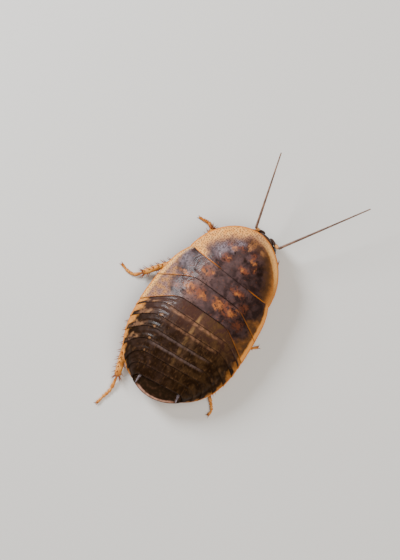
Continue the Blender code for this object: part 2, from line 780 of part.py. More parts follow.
def make_tarsus(name, start, toes, start_plane):
    """Five joints, the first and last long, standing on small flats, with a pair of claws."""
    path = evenly(smooth_path([start, *toes], 8), 12)
    last = len(path) - 1
    joints = (0.0, 0.4, 0.53, 0.64, 0.74, 1.0)
    halves = []
    for i in range(last + 1):
        q = i / last
        nearest = min(abs(q - joint) for joint in joints[1:-1])
        pinch = 0.16 * max(0.0, 1 - nearest / 0.06)
        halves.append((TARSUS_RADIUS * (1 - pinch), TARSUS_RADIUS * (1 - pinch)))
    tarsus = tube(name, path, halves, "leg", 8, start_normal=start_plane)
    ahead = (path[-1] - path[-3]).normalized()
    outward = ahead.cross(Vector((0, 0, 1))).normalized()
    claws = []
    for turn in (-1, 1):
        root = path[-1] - ahead * (0.22 * MM) + outward * (turn * 0.08 * MM)
        tip = root + (ahead + outward * turn * 0.8).normalized() * (CLAW_LENGTH * MM)
        tip.z = 0.03 * MM
        root.z = 0.26 * MM
        claws.append(cone(root, tip, CLAW_RADIUS, "spine"))
    return combine(tarsus, claws)


def main():
    for leftover in list(bpy.data.objects):
        bpy.data.objects.remove(leftover)
    make_pronotum()
    make_notum("mesonotum", (SHIELD_REAR, 0.0), MESONOTUM_REAR, SHOULDER, 6)
    make_notum("metanotum", MESONOTUM_REAR, METANOTUM_REAR, 0.0, 6)
    make_abdomen()
    make_anal_plate()
    make_core()
    make_head()
    for name, sign in (("left", LEFT), ("right", RIGHT)):
        make_eye(f"eye_{name}", sign)
        make_antenna(f"antenna_{name}", sign)
        make_palp(f"palp_{name}", sign)
        make_cercus(f"cercus_{name}", sign)
    for leg in LEGS:
        make_leg(leg)


main()
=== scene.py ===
import math
from functools import reduce
import bpy
from mathutils import Matrix, Vector, noise


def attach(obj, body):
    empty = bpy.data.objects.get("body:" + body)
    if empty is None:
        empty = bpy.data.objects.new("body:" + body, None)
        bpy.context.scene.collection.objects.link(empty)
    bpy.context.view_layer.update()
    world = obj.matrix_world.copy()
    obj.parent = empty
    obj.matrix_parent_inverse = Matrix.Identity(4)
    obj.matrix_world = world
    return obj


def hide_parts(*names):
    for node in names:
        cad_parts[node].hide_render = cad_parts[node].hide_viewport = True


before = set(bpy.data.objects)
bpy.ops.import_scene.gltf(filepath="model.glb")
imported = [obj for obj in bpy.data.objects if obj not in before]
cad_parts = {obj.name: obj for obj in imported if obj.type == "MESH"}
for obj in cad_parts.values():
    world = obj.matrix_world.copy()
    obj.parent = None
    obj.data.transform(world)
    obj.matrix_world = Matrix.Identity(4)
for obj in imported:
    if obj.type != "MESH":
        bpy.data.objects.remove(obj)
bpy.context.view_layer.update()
print("frame loaded:", len(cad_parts), "nodes")

mm = 0.001
upright = Vector((0, 0, 1))
left, right = -1, 1
flanks = (("Left", left), ("Right", right))

# The animal's own measures in mm: across (left negative), along (head positive), height over the floor
stance = {"bendRadius": 104.0, "bendStation": -1.8, "shift": (1.17, -2.58)}  # bent round a point far to its right
outline = {"widest": -4.0, "halfWidth": 9.2, "front": (18.2, 2.2), "rear": (11.2, 2.3)}  # front and rear: reach, power
back = {
    "marginHeight": 3.6, "marginSlope": 0.06, "domeHeight": 4.0, "domeTop": -3.0, "domeFront": 17.2,
    "domeRear": 12.6, "domePower": 2.4, "domeFullness": 0.75, "archPower": 2.3, "archFullness": 1.1,
}


def place(across, along, height):  # from the body's own measures to metres in the scene
    turn = (along - stance["bendStation"]) / stance["bendRadius"]
    reach = stance["bendRadius"] - across
    x = stance["bendRadius"] - reach * math.cos(turn) + stance["shift"][0]
    y = stance["bendStation"] + reach * math.sin(turn) + stance["shift"][1]
    return Vector((-x * mm, -y * mm, max(height, 0.0) * mm))


def clamp(value):
    return min(1.0, max(0.0, value))


def ease(value):  # 0 to 1, soft at both ends
    value = clamp(value)
    return value * value * (3 - 2 * value)


def ridge(distance, width):  # a rounded line, 1 along its middle
    return math.exp(-((distance / width) ** 2))


def ridges(distance, lines):  # lines: middle, width, height
    return sum(height * ridge(distance - middle, width) for middle, width, height in lines)


def rounded(distance, radius):  # a plate's half thickness near its edge, as a share
    return math.sqrt(1 - (1 - clamp(distance / radius)) ** 2)


def hump(share, power, fullness):  # 1 in the middle, 0 at either end
    return (1 - clamp(abs(share)) ** power) ** fullness


def superellipse(share, power):
    return hump(share, power, 1 / power)


def grain(across, along, scale, seed=0.0):  # smooth noise, -1 to 1
    return noise.noise(Vector((across * scale, along * scale, seed)))


def bodyHalfWidth(along):
    reach, power = outline["rear" if along <= outline["widest"] else "front"]
    return outline["halfWidth"] * superellipse((along - outline["widest"]) / reach, power)


def marginHeight(along):
    return back["marginHeight"] + back["marginSlope"] * along


def arch(share):  # cross-section of the back: 1 at the midline, 0 at the side margin
    return hump(share, back["archPower"], back["archFullness"])


def dome(across, along, halfWidth=bodyHalfWidth):
    reach = back["domeFront"] if along > back["domeTop"] else back["domeRear"]
    crest = hump((along - back["domeTop"]) / reach, back["domePower"], back["domeFullness"])
    return marginHeight(along) + back["domeHeight"] * crest * arch(across / max(halfWidth(along), 0.001))


def rearMargin(rear, lobe, v):  # a plate's rear margin, swept back towards its corners
    middle, swept = rear
    start, power = lobe
    past = (abs(v) - start) / (1 - start)
    return middle - swept * ((past + math.sqrt(past * past + 0.02)) / 2) ** power


def mathNode(operation, swapped=False):  # a method that adds a Math node
    def method(self, *others):
        values = (*others, self) if swapped else (self, *others)
        return self.nodes.add("ShaderNodeMath", values, operation=operation)

    return method


class Wire:  # a node's socket that takes part in Python sums
    __add__ = __radd__ = mathNode("ADD")
    __mul__ = __rmul__ = mathNode("MULTIPLY")
    __sub__ = mathNode("SUBTRACT")
    __rsub__ = mathNode("SUBTRACT", swapped=True)
    __truediv__ = mathNode("DIVIDE")
    __pow__ = mathNode("POWER")
    __abs__ = mathNode("ABSOLUTE")
    either = mathNode("MAXIMUM")
    fraction = mathNode("FRACT")
    sine = mathNode("SINE")

    def __init__(self, nodes, socket):
        self.nodes, self.socket = nodes, socket

    def soft(self, low, high):  # 0 at low, 1 at high, smooth between
        sockets = {"Value": self, "From Min": low, "From Max": high}
        return self.nodes.add("ShaderNodeMapRange", sockets, interpolation_type="SMOOTHSTEP")

    def line(self, middle, width):  # 1 at middle, 0 a width away
        return abs(self - middle).soft(width, 0.0)


class Nodes:  # a node tree that is written as expressions
    def __init__(self, tree):
        self.tree = tree

    def add(self, kind, sockets=(), output=0, **settings):
        node = self.tree.nodes.new(kind)
        for key, value in settings.items():
            setattr(node, key, value)
        for key, value in sockets.items() if isinstance(sockets, dict) else enumerate(sockets):
            if isinstance(value, Wire):
                self.tree.links.new(value.socket, node.inputs[key])
            else:
                node.inputs[key].default_value = value
        return Wire(self, node.outputs[output] if node.outputs else None)

    def vector(self, operation, *values, output=0):
        return self.add("ShaderNodeVectorMath", values, output, operation=operation)

    def split(self, vector):
        first = self.add("ShaderNodeSeparateXYZ", (vector,))
        return [Wire(self, socket) for socket in first.socket.node.outputs]

    def join(self, x, y, z):
        return self.add("ShaderNodeCombineXYZ", (x, y, z))

    def mix(self, factor, first, second):  # a colour is a wire, a name from colours or three numbers
        sockets = {0: factor}
        for index, colour in ((6, first), (7, second)):
            colour = colours.get(colour, colour)
            sockets[index] = colour if isinstance(colour, Wire) else (*colour, 1.0)
        return self.add("ShaderNodeMix", sockets, 2, data_type="RGBA")

    def layers(self, colour, *layers):  # colours over one another, each through its mask
        for mask, over in layers:
            colour = self.mix(mask, colour, over)
        return colour

    def noise(self, at, scale, detail=2.0, distortion=0.0, output=0):
        sockets = {"Vector": at, "Scale": scale, "Detail": detail, "Distortion": distortion}
        return self.add("ShaderNodeTexNoise", sockets, output)

    def cells(self, at, scale, randomness=1.0, dimensions="2D"):
        sockets = {"Vector": at, "Scale": scale, "Randomness": randomness}
        return self.add("ShaderNodeTexVoronoi", sockets, voronoi_dimensions=dimensions)

    def warp(self, at, scale, amount):  # places that wander, so that spots lose their plain outlines
        step = self.vector("SUBTRACT", self.noise(at, scale, 3.0, output=1), (0.5, 0.5, 0.5))
        return self.vector("ADD", at, self.vector("MULTIPLY", step, (amount, amount, 0)))

    def attribute(self, name):
        return self.add("ShaderNodeAttribute", output="Vector", attribute_name=name)

    def millimetres(self):  # place on the piece
        return self.vector("MULTIPLY", self.add("ShaderNodeTexCoord", output="Object"), (1000, 1000, 1000))


def newMaterial(name):  # its empty node tree
    material = bpy.data.materials.new(name)
    material.use_nodes = True
    material.node_tree.nodes.clear()
    nodes = Nodes(material.node_tree)
    nodes.material = material
    return nodes


def finish(nodes, colour, roughness, height=None, fixed=None):  # height is the relief in mm
    sockets = {"Base Color": colour, "Roughness": roughness, **(fixed or {})}
    if height is not None:
        sockets["Normal"] = nodes.add("ShaderNodeBump", {"Height": height, "Distance": mm, "Strength": 1.0})
    nodes.add("ShaderNodeOutputMaterial", {"Surface": nodes.add("ShaderNodeBsdfPrincipled", sockets)})
    return nodes.material


gloss = {"Specular IOR Level": 0.11, "Coat Weight": 0.05, "Coat Roughness": 0.09, "IOR": 1.42}
relief = {"fine": 0.003, "pits": 0.003, "waves": 0.04, "rolls": 0.026}  # depths in mm
flesh = {"Subsurface Weight": 0.12, "Subsurface Radius": (0.9, 0.4, 0.15), "Subsurface Scale": 0.4 * mm}
colours = {
    "disc": (0.029, 0.0155, 0.0145), "discLight": (0.084, 0.046, 0.044), "ash": (0.1, 0.06, 0.056),
    # the sheen colour below is for painted highlights, where the light is mirrored
    "paintedSheen": (0.28, 0.215, 0.235), "lilac": (0.24, 0.13, 0.105), "speck": (0.055, 0.024, 0.026),
    "black": (0.01, 0.005, 0.003), "rust": (0.48, 0.16, 0.042), "rustDeep": (0.21, 0.06, 0.026),
    "brow": (0.46, 0.185, 0.066), "tan": (0.74, 0.29, 0.06), "tanPale": (0.86, 0.42, 0.12),
    "tanDeep": (0.5, 0.18, 0.035), "tanDull": (0.45, 0.19, 0.045), "amber": (0.62, 0.18, 0.015),
    "olive": (0.08, 0.034, 0.012), "lobe": (0.44, 0.19, 0.06), "pink": (0.36, 0.17, 0.09),
    "ringRear": (0.015, 0.006, 0.002), "ringFront": (0.058, 0.024, 0.017), "ringLeft": (0.056, 0.029, 0.021),
    # the right ring tone is painted brighter and warmer: painted light
    "ringRightLit": (0.082, 0.04, 0.014), "grit": (0.12, 0.055, 0.02), "flank": (0.3, 0.14, 0.07),
    "stripe": (0.38, 0.2, 0.075), "glow": (0.15, 0.075, 0.04), "dusk": (0.13, 0.085, 0.075),
    "ringDots": (0.36, 0.17, 0.07), "under": (0.46, 0.24, 0.09), "underRim": (0.2, 0.09, 0.04),
    "underSeam": (0.26, 0.11, 0.04), "last": (0.018, 0.009, 0.004), "lastLight": (0.045, 0.02, 0.01),
    "lastRim": (0.55, 0.28, 0.19), "lastEdge": (0.16, 0.055, 0.022), "leg": (0.6, 0.21, 0.035),
    "legPale": (0.8, 0.38, 0.1), "joint": (0.26, 0.06, 0.014), "hip": (0.5, 0.2, 0.05),
    "scape": (0.02, 0.011, 0.008), "scapeLight": (0.07, 0.03, 0.018), "scapeBall": (0.6, 0.26, 0.08),
}


def blots(nodes, at, ragged, ovals):  # 1 inside any of some uneven ovals
    masks = []
    for across, along, halfWidth, halfLength in ovals:
        offset = nodes.vector("SUBTRACT", at, (across, along, 0))
        scaled = nodes.vector("MULTIPLY", offset, (1 / halfWidth, 1 / halfLength, 0))
        masks.append((nodes.vector("LENGTH", scaled, output=1) + ragged).soft(1.45, 0.3))
    return reduce(Wire.either, masks)


def plateNodes(name, ragScale=1.3):  # the wires that every plate's pattern starts from
    nodes = newMaterial(name)
    at = nodes.attribute("bodyPlace")
    across, along, _ = nodes.split(at)
    t, v, under = nodes.split(nodes.attribute("plateShare"))
    return nodes, at, across, along, t, v, under, nodes.noise(at, ragScale, 4.0) - 0.5


def plateFinish(nodes, at, colour, under, dull=0.0):
    fine = nodes.noise(at, 9.0, 3.0)
    pits = nodes.cells(at, 5.5, 0.9).soft(0.0, 0.3)
    smudge = nodes.noise(at, 0.9, 3.0)
    waves, rolls = nodes.noise(at, 1.3, 2.0), nodes.noise(at, 3.4, 2.0)
    height = fine * relief["fine"] + pits * relief["pits"] + waves * relief["waves"] + rolls * relief["rolls"]
    paint = nodes.mix(under, colour, nodes.mix(smudge.soft(0.35, 0.7), "under", "tanDeep"))
    return finish(nodes, paint, 0.22 + smudge * 0.22 + fine * 0.06 + dull, height, gloss)


def marbled(name):  # the dark middle that the shield and both notums share
    nodes, at, across, along, t, v, under, ragged = plateNodes(name)
    wander = nodes.warp(at, 1.6, 1.1)
    mottle = nodes.noise(at, 2.6, 4.0, 0.8)
    disc = nodes.layers(
        "disc",
        (nodes.noise(at, 0.8, 3.0, 0.5).soft(0.38, 0.66), "discLight"),
        (mottle.soft(0.56, 0.72) * 0.45, "rustDeep"),
        (mottle.soft(0.45, 0.32) * 0.5, "black"),
    )

    def spots(ovals, edge=ragged):
        return blots(nodes, wander, edge, ovals)

    return nodes, at, across, along, t, v, under, ragged, mottle, disc, spots


# Ovals of the patterns: centre (across, along), half width and half length
shieldSpots = {
    # painted highlights: the light's sheen on the left shoulder
    "paintedSheenSpots": ((-3.9, 8.9, 1.4, 1.5), (-2.7, 9.8, 1.1, 0.9), (-2.0, 11.2, 1.0, 0.6)),
    "dull": (
        (-2.25, 8.05, 0.9, 0.6), (1.1, 8.15, 0.9, 0.6), (2.4, 9.3, 0.5, 0.5), (-3.0, 10.0, 0.6, 0.4),
        (-1.2, 10.6, 0.6, 0.4), (0.9, 11.0, 0.5, 0.5),
    ),
    "bright": (
        (-2.15, 9.95, 0.55, 0.34), (1.38, 10.08, 0.6, 0.36), (2.4, 9.5, 0.26, 0.2), (-1.85, 8.25, 0.22, 0.16),
        (0.85, 8.05, 0.26, 0.18),
    ),
    "pits": (
        (-2.3, 7.65, 0.26, 0.2), (1.35, 7.75, 0.24, 0.2), (-1.6, 9.5, 0.22, 0.26), (2.8, 10.2, 0.5, 0.5),
        (3.4, 9.4, 0.4, 0.6), (0.3, 9.4, 0.4, 0.5),
    ),
    "brow": ((-0.3, 13.0, 0.9, 0.6), (-0.25, 12.2, 0.6, 0.8), (-0.3, 11.6, 0.35, 0.6), (1.75, 12.1, 0.5, 0.35)),
}
# painted highlight: the light's bluish sheen on the left of the mesonotum
notumPaintedSheen = ((-6.9, 4.35, 1.0, 1.2),)
notumPatterns = {  # lobe: its sweep, then where the left and the right margin begin
    "mesonotum": {
        "bright": ((-3.5, 4.5, 0.5, 0.3), (2.5, 4.75, 0.42, 0.32), (-2.3, 5.2, 0.25, 0.2), (-5.7, 2.75, 0.9, 0.32)),
        "dull": ((-3.3, 4.9, 1.2, 0.7), (2.4, 4.9, 1.1, 0.6), (-5.2, 3.0, 0.6, 0.4), (4.6, 3.6, 0.8, 0.7)),
        "lobe": (0.27, 0.95, 0.92),
    },
    "metanotum": {
        "bright": (
            (-4.4, 1.3, 0.55, 0.45), (-3.5, 0.75, 0.6, 0.28), (-3.8, 1.75, 0.6, 0.35), (-1.55, 1.4, 0.7, 0.55),
            (1.2, 1.5, 0.85, 0.6), (3.6, 1.72, 0.75, 0.35), (4.15, 2.7, 0.35, 0.28), (0.9, 2.3, 0.8, 0.25),
        ),
        "dull": ((-2.9, 1.6, 2.2, 0.9), (2.2, 1.9, 2.2, 1.0), (-5.6, 0.6, 0.7, 0.5), (5.4, 0.8, 1.0, 0.8)),
        "lobe": (0.2, 0.76, 0.84),
    },
}
ringSpots = ((5.0, 0.86, 0.22, 0.1), (7.0, 0.82, 0.3, 0.12), (7.9, 0.5, 0.22, 0.14))


def makeShieldMaterial():
    nodes, at, across, along, _, _, under, ragged, mottle, disc, spots = marbled("shieldChitin")
    share = nodes.split(nodes.attribute("edgeShare"))[0]
    lit = across.soft(2.6, -0.6)  # 1 on the left half; painted light: the margin is painted paler there, where the light falls
    ahead = along.soft(9.5, 12.8)
    disc = nodes.layers(
        disc,
        # painted highlight: the light's sheen on the left shoulder
        (spots(shieldSpots["paintedSheenSpots"]) * (0.25 + mottle.soft(0.35, 0.6) * 0.45), "paintedSheen"),
        ((across + ragged * 3.0).line(-0.8, 2.0) * along.soft(11.2, 10.0) * 0.42, "ash"),
        (spots(shieldSpots["dull"]) * mottle.soft(0.36, 0.56) * 0.8, "rustDeep"),
        (spots(shieldSpots["bright"], ragged * 1.6) * mottle.soft(0.26, 0.64) * 0.85, "rust"),
        (spots(shieldSpots["pits"]) * 0.85, "black"),
        (spots(shieldSpots["brow"], ragged * 0.9) * mottle.soft(0.2, 0.52) * 0.85, "brow"),
        # painted shade on the right of the disc, away from the light
        (across.soft(1.9, 2.9) * 0.5, "black"),
    )
    limit = 0.78 - along.soft(7.8, 6.6) * 0.15 + across.soft(-2.6, -0.6) * ahead * 0.14
    blend = share + ragged * 0.16 - limit
    pale = nodes.mix(nodes.noise(at, 1.6, 3.0).soft(0.3, 0.75), "tan", "tanPale")
    pale = nodes.mix(blend.soft(0.12, -0.06) * 0.9, pale, "lilac")
    bright = along.soft(8.0, 12.0)
    warm = nodes.layers(
        "olive",
        ((share + ragged * 0.1).soft(0.8, 0.97), "tanDeep"),
        ((share + ragged * 0.03 + bright * 0.07).soft(0.93, 0.965), nodes.mix(bright, "tanDull", "tanPale")),
    )
    dots = nodes.cells(at, 3.2, 0.65).soft(0.36, 0.22) * share.soft(0.5, 0.7) * share.soft(0.985, 0.965)
    corners = (across + ragged).soft(-1.5, -3.5).either(across.soft(3.0, 4.5))
    colour = nodes.layers(
        disc,
        ((share + ragged * 0.2).soft(0.64, 0.82) * (1 - ahead * 0.4), warm),
        (share.soft(0.9, 0.95), warm),
        (lit * blend.soft(-0.13, 0.06), pale),
        (dots * (0.22 + lit * 0.5), "speck"),
        (share.soft(0.972, 0.985), "amber"),
        (along.soft(6.44, 6.28) * corners * 0.8, "amber"),
    )
    return plateFinish(nodes, at, colour, under, share.soft(0.6, 0.9) * 0.22)


def makeNotumMaterial(name):
    nodes, at, across, _, t, v, under, ragged, mottle, disc, spots = marbled(name + "Chitin")
    pattern = notumPatterns[name]
    sweep, paleFrom, warmFrom = pattern["lobe"]
    out = abs(v)
    lit = across.soft(1.0, -1.0)
    patchy = mottle.soft(0.35, 0.6) * 0.4
    disc = nodes.layers(
        disc,
        # painted light: a lilac band where the light falls on the left of the disc
        (across.line(-3.3, 2.4) * (0.15 + patchy), "lilac"),
        ((across + ragged * 3.0).line(-0.5, 2.0) * 0.38, "ash"),
        # painted highlight on the left, in the sheen colour
        (spots(notumPaintedSheen) * (0.2 + patchy), "paintedSheen"),
        (spots(pattern["dull"]) * mottle.soft(0.36, 0.56) * 0.8, "rustDeep"),
        (spots(pattern["bright"], ragged * 1.6) * mottle.soft(0.25, 0.66) * 0.8, "rust"),
        # painted shade on the right of the disc, away from the light
        (across.soft(3.2, 4.6) * 0.45, "black"),
    )
    border = out + t * t * sweep + ragged * 0.1
    margin = border.soft(paleFrom - 0.05, paleFrom + 0.06)
    pale = nodes.layers(
        "lobe",
        (nodes.noise(at, 1.6, 3.0).soft(0.3, 0.65), "lilac"),
        (out.soft(0.9, 0.96), "tanPale"),
        (nodes.cells(at, 3.3, 0.75).soft(0.36, 0.22) * 0.65, "speck"),
    )
    warm = nodes.layers(
        "olive",
        (nodes.noise(at, 0.9, 3.0).soft(0.4, 0.8) * 0.45, "tanDeep"),
        ((out + ragged * 0.03).soft(0.91, 0.945), "tan"),
    )
    lip = t.soft(0.93, 0.985)
    colour = nodes.layers(
        disc,
        (margin * lit, pale),
        (border.soft(warmFrom - 0.06, warmFrom + 0.08) * (1 - lit), warm),
        (out.soft(0.978, 0.99), "amber"),
        (lip * out.soft(0.42, 0.6) * 0.3, "amber"),
        # painted shadow: dark lines along the rear edge, under the plate's lip
        (lip * out.soft(0.5, 0.42) * 0.7, "black"),
        (t.soft(0.98, 0.995) * 0.7, "black"),
    )
    return plateFinish(nodes, at, colour, under, margin * 0.22)


def makeAbdomenMaterial():
    nodes, at, across, along, t, v, under, ragged = plateNodes("abdomenChitin")

    def streaks(wide, long, seed, detail=3.0):  # noise that runs across or along the rings
        return nodes.noise(nodes.join(across * wide, along * long, seed), 1.0, detail)

    out = abs(v)
    lit = across.soft(1.5, -1.5)
    front = along.soft(-6.5, -1.0)
    broken = streaks(2.0, 1.3, 4.0).soft(0.3, 0.6)
    dashes = streaks(1.3, 1.2, 9.0, 2.0).soft(0.42, 0.62)
    dark = nodes.mix(front, "ringRear", "ringFront")
    # painted light: the right half is painted brighter and warmer, where more light falls
    light = nodes.mix(across.soft(-1.0, 3.0), "ringLeft", "ringRightLit")
    flank = across.soft(-5.9, -7.3) * along.soft(-12.0, -8.0) * (t + ragged * 0.6).soft(0.42, 0.68)
    stripe = (across - 0.1 + ragged * 0.4).line(0.0, 0.44) * (t + ragged * 0.8).soft(0.0, 0.6)
    stripe = stripe * along.soft(-12.5, -6.0) * (0.3 + broken * 0.7)
    glow = (across - 0.9 + ragged).line(0.0, 0.8) * along.soft(-12.0, -6.0)
    seam = t.soft(0.84, 0.92) * t.soft(0.99, 0.95) * dashes * out.soft(0.62, 0.5)
    bandRings = along.line(-2.8, 0.8) + along.line(-4.6, 0.55) * 0.6
    band = (t + ragged * 0.25).soft(0.36, 0.14) * bandRings * out.soft(0.58, 0.42)
    dusk = (t + ragged * 0.2).soft(0.3, 0.1) * along.line(-7.6, 2.6) * out.soft(0.6, 0.4)
    side = (out + ragged * 0.1 - along.soft(-6.0, -9.0) * 0.05).soft(0.86, 0.93)
    tan = nodes.mix(nodes.noise(at, 1.8, 3.0).soft(0.35, 0.7), "tan", "tanDeep")
    corner = (t + ragged * 0.3 - out * 0.4).soft(0.14, 0.3) * out.soft(0.985, 0.965)
    dots = blots(nodes, nodes.join(out * 9.2 + ragged * 1.2, t + ragged * 0.5, 0.0), ragged, ringSpots)
    colour = nodes.layers(
        dark,
        (nodes.noise(at, 0.9, 3.0, 0.5).soft(0.38, 0.7) * (0.45 + front * 0.5), light),
        (streaks(4.0, 1.6, 0.0).soft(0.52, 0.7) * out.soft(0.8, 0.6) * 0.4, "grit"),
        (across.line(-1.7, 1.5) * 0.5, dark),
        (flank * nodes.noise(at, 2.2, 4.0, 0.6).soft(0.4, 0.6) * 0.5, "flank"),
        (stripe * (0.28 + front * 0.38), "stripe"),
        (glow * (0.05 + broken * 0.2), "glow"),
        (seam * (0.06 + front * 0.2), "pink"),
        (band * (0.12 + dashes * 0.45), "pink"),
        (dusk * (0.3 + broken * 0.5), "dusk"),
        (side * (0.4 + lit * 0.5), nodes.mix(corner, tan, "black")),
        (dots * along.soft(-11.5, -8.5) * (0.12 + lit * 0.4), "ringDots"),
        (out.soft(0.978, 0.99), "amber"),
        # painted shadow line along each ring's rear edge
        (t.soft(0.955, 0.99) * 0.8, "black"),
    )
    belly = nodes.layers("under", (out.soft(0.55, 0.8), "underRim"), (t.soft(0.8, 0.95), "underSeam"))
    return plateFinish(nodes, at, nodes.mix(under, colour, belly), 0.0, t.soft(0.8, 0.95) * 0.2)


def makeLastPlateMaterial():
    nodes, at, _, _, t, _, under, ragged = plateNodes("lastPlateChitin", 1.8)
    share = nodes.split(nodes.attribute("edgeShare"))[0]
    rim = (share + ragged * 0.08).soft(0.81, 0.89) * t.soft(0.5, 0.7)
    colour = nodes.layers(
        "last",
        (nodes.noise(at, 2.0, 3.0).soft(0.45, 0.7), "lastLight"),
        (
            rim * (0.5 + nodes.noise(at, 2.6, 2.0).soft(0.3, 0.6) * 0.5),
            nodes.mix(share.soft(0.92, 0.985), "lastRim", "lastEdge"),
        ),
    )
    return plateFinish(nodes, at, colour, under)


def makeLimbMaterial():  # limbShare: x along a segment, y its place in the limb, z round it
    nodes = newMaterial("limbChitin")
    at = nodes.millimetres()
    reach, kind, _ = nodes.split(nodes.attribute("limbShare"))
    cloud = nodes.noise(at, 1.6, 3.0, 0.5)
    pores = nodes.cells(at, 3.4, 1.0, "3D").soft(0.2, 0.08)
    colour = nodes.layers(
        "leg",
        (cloud.soft(0.35, 0.7), "legPale"),
        (kind.soft(1.4, 0.4), "hip"),
        (reach.soft(0.9, 1.0).either(reach.soft(0.09, 0.0)) * 0.75, "joint"),
        (kind.soft(3.6, 4.4) * 0.55, "joint"),
        (pores * 0.6, "joint"),
    )
    height = nodes.noise(at, 10.0, 3.0) * 0.004 + cloud * 0.02 - pores * 0.01
    return finish(nodes, colour, 0.3 + cloud * 0.18, height, {**gloss, **flesh})


def makeScapeMaterial():  # dark, with a pale ball where the lash begins
    nodes = newMaterial("scapeChitin")
    reach = nodes.split(nodes.attribute("limbShare"))[0]
    cloud = nodes.noise(nodes.millimetres(), 1.5, 3.0)
    colour = nodes.layers("scape", (cloud, "scapeLight"), (reach.soft(0.7, 0.8), "scapeBall"))
    return finish(nodes, colour, 0.28 + cloud * 0.15, cloud * 0.01, gloss)


def makePlainMaterial(name, first, second, scale, roughness, uneven, depth, fixed=None):
    nodes = newMaterial(name)
    at = nodes.millimetres()
    cloud = nodes.noise(at, scale, 3.0, 0.4)
    height = nodes.noise(at, 11.0, 3.0) * depth + cloud * depth * 2
    tone = nodes.mix(cloud.soft(0.38, 0.66), first, second)
    return finish(nodes, tone, roughness + cloud * uneven, height, fixed)


# Two tones, the scale of their clouds, roughness and how uneven it is, relief in mm, other settings
plainFinishes = {
    "belly": ("bellyChitin", (0.44, 0.21, 0.07), (0.6, 0.36, 0.16), 1.1, 0.3, 0.2, 0.012, gloss),
    "neck": ("neckMembrane", (0.62, 0.46, 0.3), (0.72, 0.58, 0.42), 2.0, 0.5, 0.15, 0.02),
    "face": ("faceChitin", (0.022, 0.013, 0.01), (0.07, 0.03, 0.018), 0.9, 0.16, 0.2, 0.006, gloss),
    "mouth": ("mouthChitin", (0.3, 0.12, 0.045), (0.5, 0.27, 0.11), 1.7, 0.25, 0.2, 0.008, gloss),
    "eye": (
        "eyeFacets", (0.008, 0.006, 0.006), (0.03, 0.018, 0.016), 1.5, 0.12, 0.1, 0.002,
        {"Coat Weight": 0.6, "Coat Roughness": 0.05},
    ),
    "feeler": ("feelerChitin", (0.1, 0.045, 0.026), (0.24, 0.12, 0.07), 0.8, 0.35, 0.15, 0.01),
    "cercus": ("cercusChitin", (0.08, 0.06, 0.065), (0.26, 0.21, 0.24), 3.0, 0.4, 0.15, 0.01),
    "spine": ("spineHorn", (0.32, 0.085, 0.025), (0.16, 0.04, 0.015), 2.5, 0.22, 0.15, 0.006, gloss),
    "bristle": ("bristleHair", (0.3, 0.14, 0.06), (0.4, 0.2, 0.09), 4.0, 0.4, 0.1, 0.002),
}
finishes = {
    "shield": makeShieldMaterial(), "mesonotum": makeNotumMaterial("mesonotum"),
    "metanotum": makeNotumMaterial("metanotum"), "abdomen": makeAbdomenMaterial(),
    "last": makeLastPlateMaterial(), "limb": makeLimbMaterial(), "scape": makeScapeMaterial(),
    **{key: makePlainMaterial(*values) for key, values in plainFinishes.items()},
}
print("materials:", len(finishes))


def addObject(name, data):
    thing = bpy.data.objects.new(name, data)
    bpy.context.scene.collection.objects.link(thing)
    return thing


def setField(mesh, name, values):  # a vector for each point of a mesh
    field = mesh.attributes.new(name, "FLOAT_VECTOR", "POINT")
    field.data.foreach_set("vector", [number for value in values for number in value])


def addPiece(name, skin, finishName, replaced=()):  # skin: points, faces and fields
    mesh = bpy.data.meshes.new(name)
    mesh.from_pydata(skin[0], [], skin[1])
    for field, values in skin[2].items():
        setField(mesh, field, values)
    mesh.shade_smooth()
    mesh.set_sharp_from_angle(angle=math.radians(55))
    return settle(name, mesh, finishName, replaced)


def settle(name, mesh, finishName, replaced=()):  # replaced: the frame's nodes that it stands for
    mesh.materials.clear()
    mesh.materials.append(finishes[finishName])
    piece = addObject(name, mesh)
    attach(piece, "root")
    if replaced:
        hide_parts(*replaced)
    return piece


def steps(count, power=1.0, low=0.0):  # 0 to 1, closer together towards 1
    return [low + (1 - low) * (1 - (1 - i / count) ** power) for i in range(count + 1)]


def spread(count):  # -1 to 1, closer together at both ends
    return [u * (1.45 - 0.45 * u * u) for u in (2 * j / count - 1 for j in range(count + 1))]


# A closed plate over a grid of t (to the rear) and v (across, -1 to 1); heights gives its top and its underside
def plateSkin(ts, vs, station, heights, edgeShare=lambda across, along, v: abs(v)):
    wide, below, last = len(vs), len(ts) * len(vs), (len(ts) - 1) * len(vs)
    layers, places, shares, edges, faces = ([], []), [], [], [], []
    for t in ts:
        for v in vs:
            across, along = station(t, v)
            for layer, height in zip(layers, heights(across, along, t, v)):
                layer.append(place(across, along, height))
            places.append((across, along, 0.0))
            shares.append((t, v))
            edges.append((edgeShare(across, along, v), 0.0, 0.0))
    for row in range(0, last, wide):
        for a in range(row, row + wide - 1):
            faces.append((a, a + wide, a + wide + 1, a + 1))
            faces.append((below + a, below + a + 1, below + a + wide + 1, below + a + wide))
    for a in range(wide - 1):
        faces.append((a, a + 1, below + a + 1, below + a))
        b = last + a
        faces.append((b, below + b, below + b + 1, b + 1))
    for a in range(0, last, wide):
        faces.append((a, below + a, below + a + wide, a + wide))
        b = a + wide - 1
        faces.append((b, b + wide, below + b + wide, below + b))
    plateShare = [(t, v, under) for under in (0, 1) for t, v in shares]
    return layers[0] + layers[1], faces, {"bodyPlace": places * 2, "plateShare": plateShare, "edgeShare": edges * 2}


def gather(parts):  # several closed skins as one
    points, faces, fields = [], [], {}
    for partPoints, partFaces, partFields in parts:
        start = len(points)
        points.extend(partPoints)
        faces.extend(tuple(start + i for i in face) for face in partFaces)
        for name, values in partFields.items():
            fields.setdefault(name, []).extend(values)
    return points, faces, fields


def midline(along):  # where the midline of the relief runs
    return -0.42 * ease(along / 3)


def arc(across, along, centre, radii, width):  # a curved line round a centre
    reach = math.hypot((across - centre[0]) / radii[0], (along - centre[1]) / radii[1])
    return ridge((reach - 1) * min(radii), width)


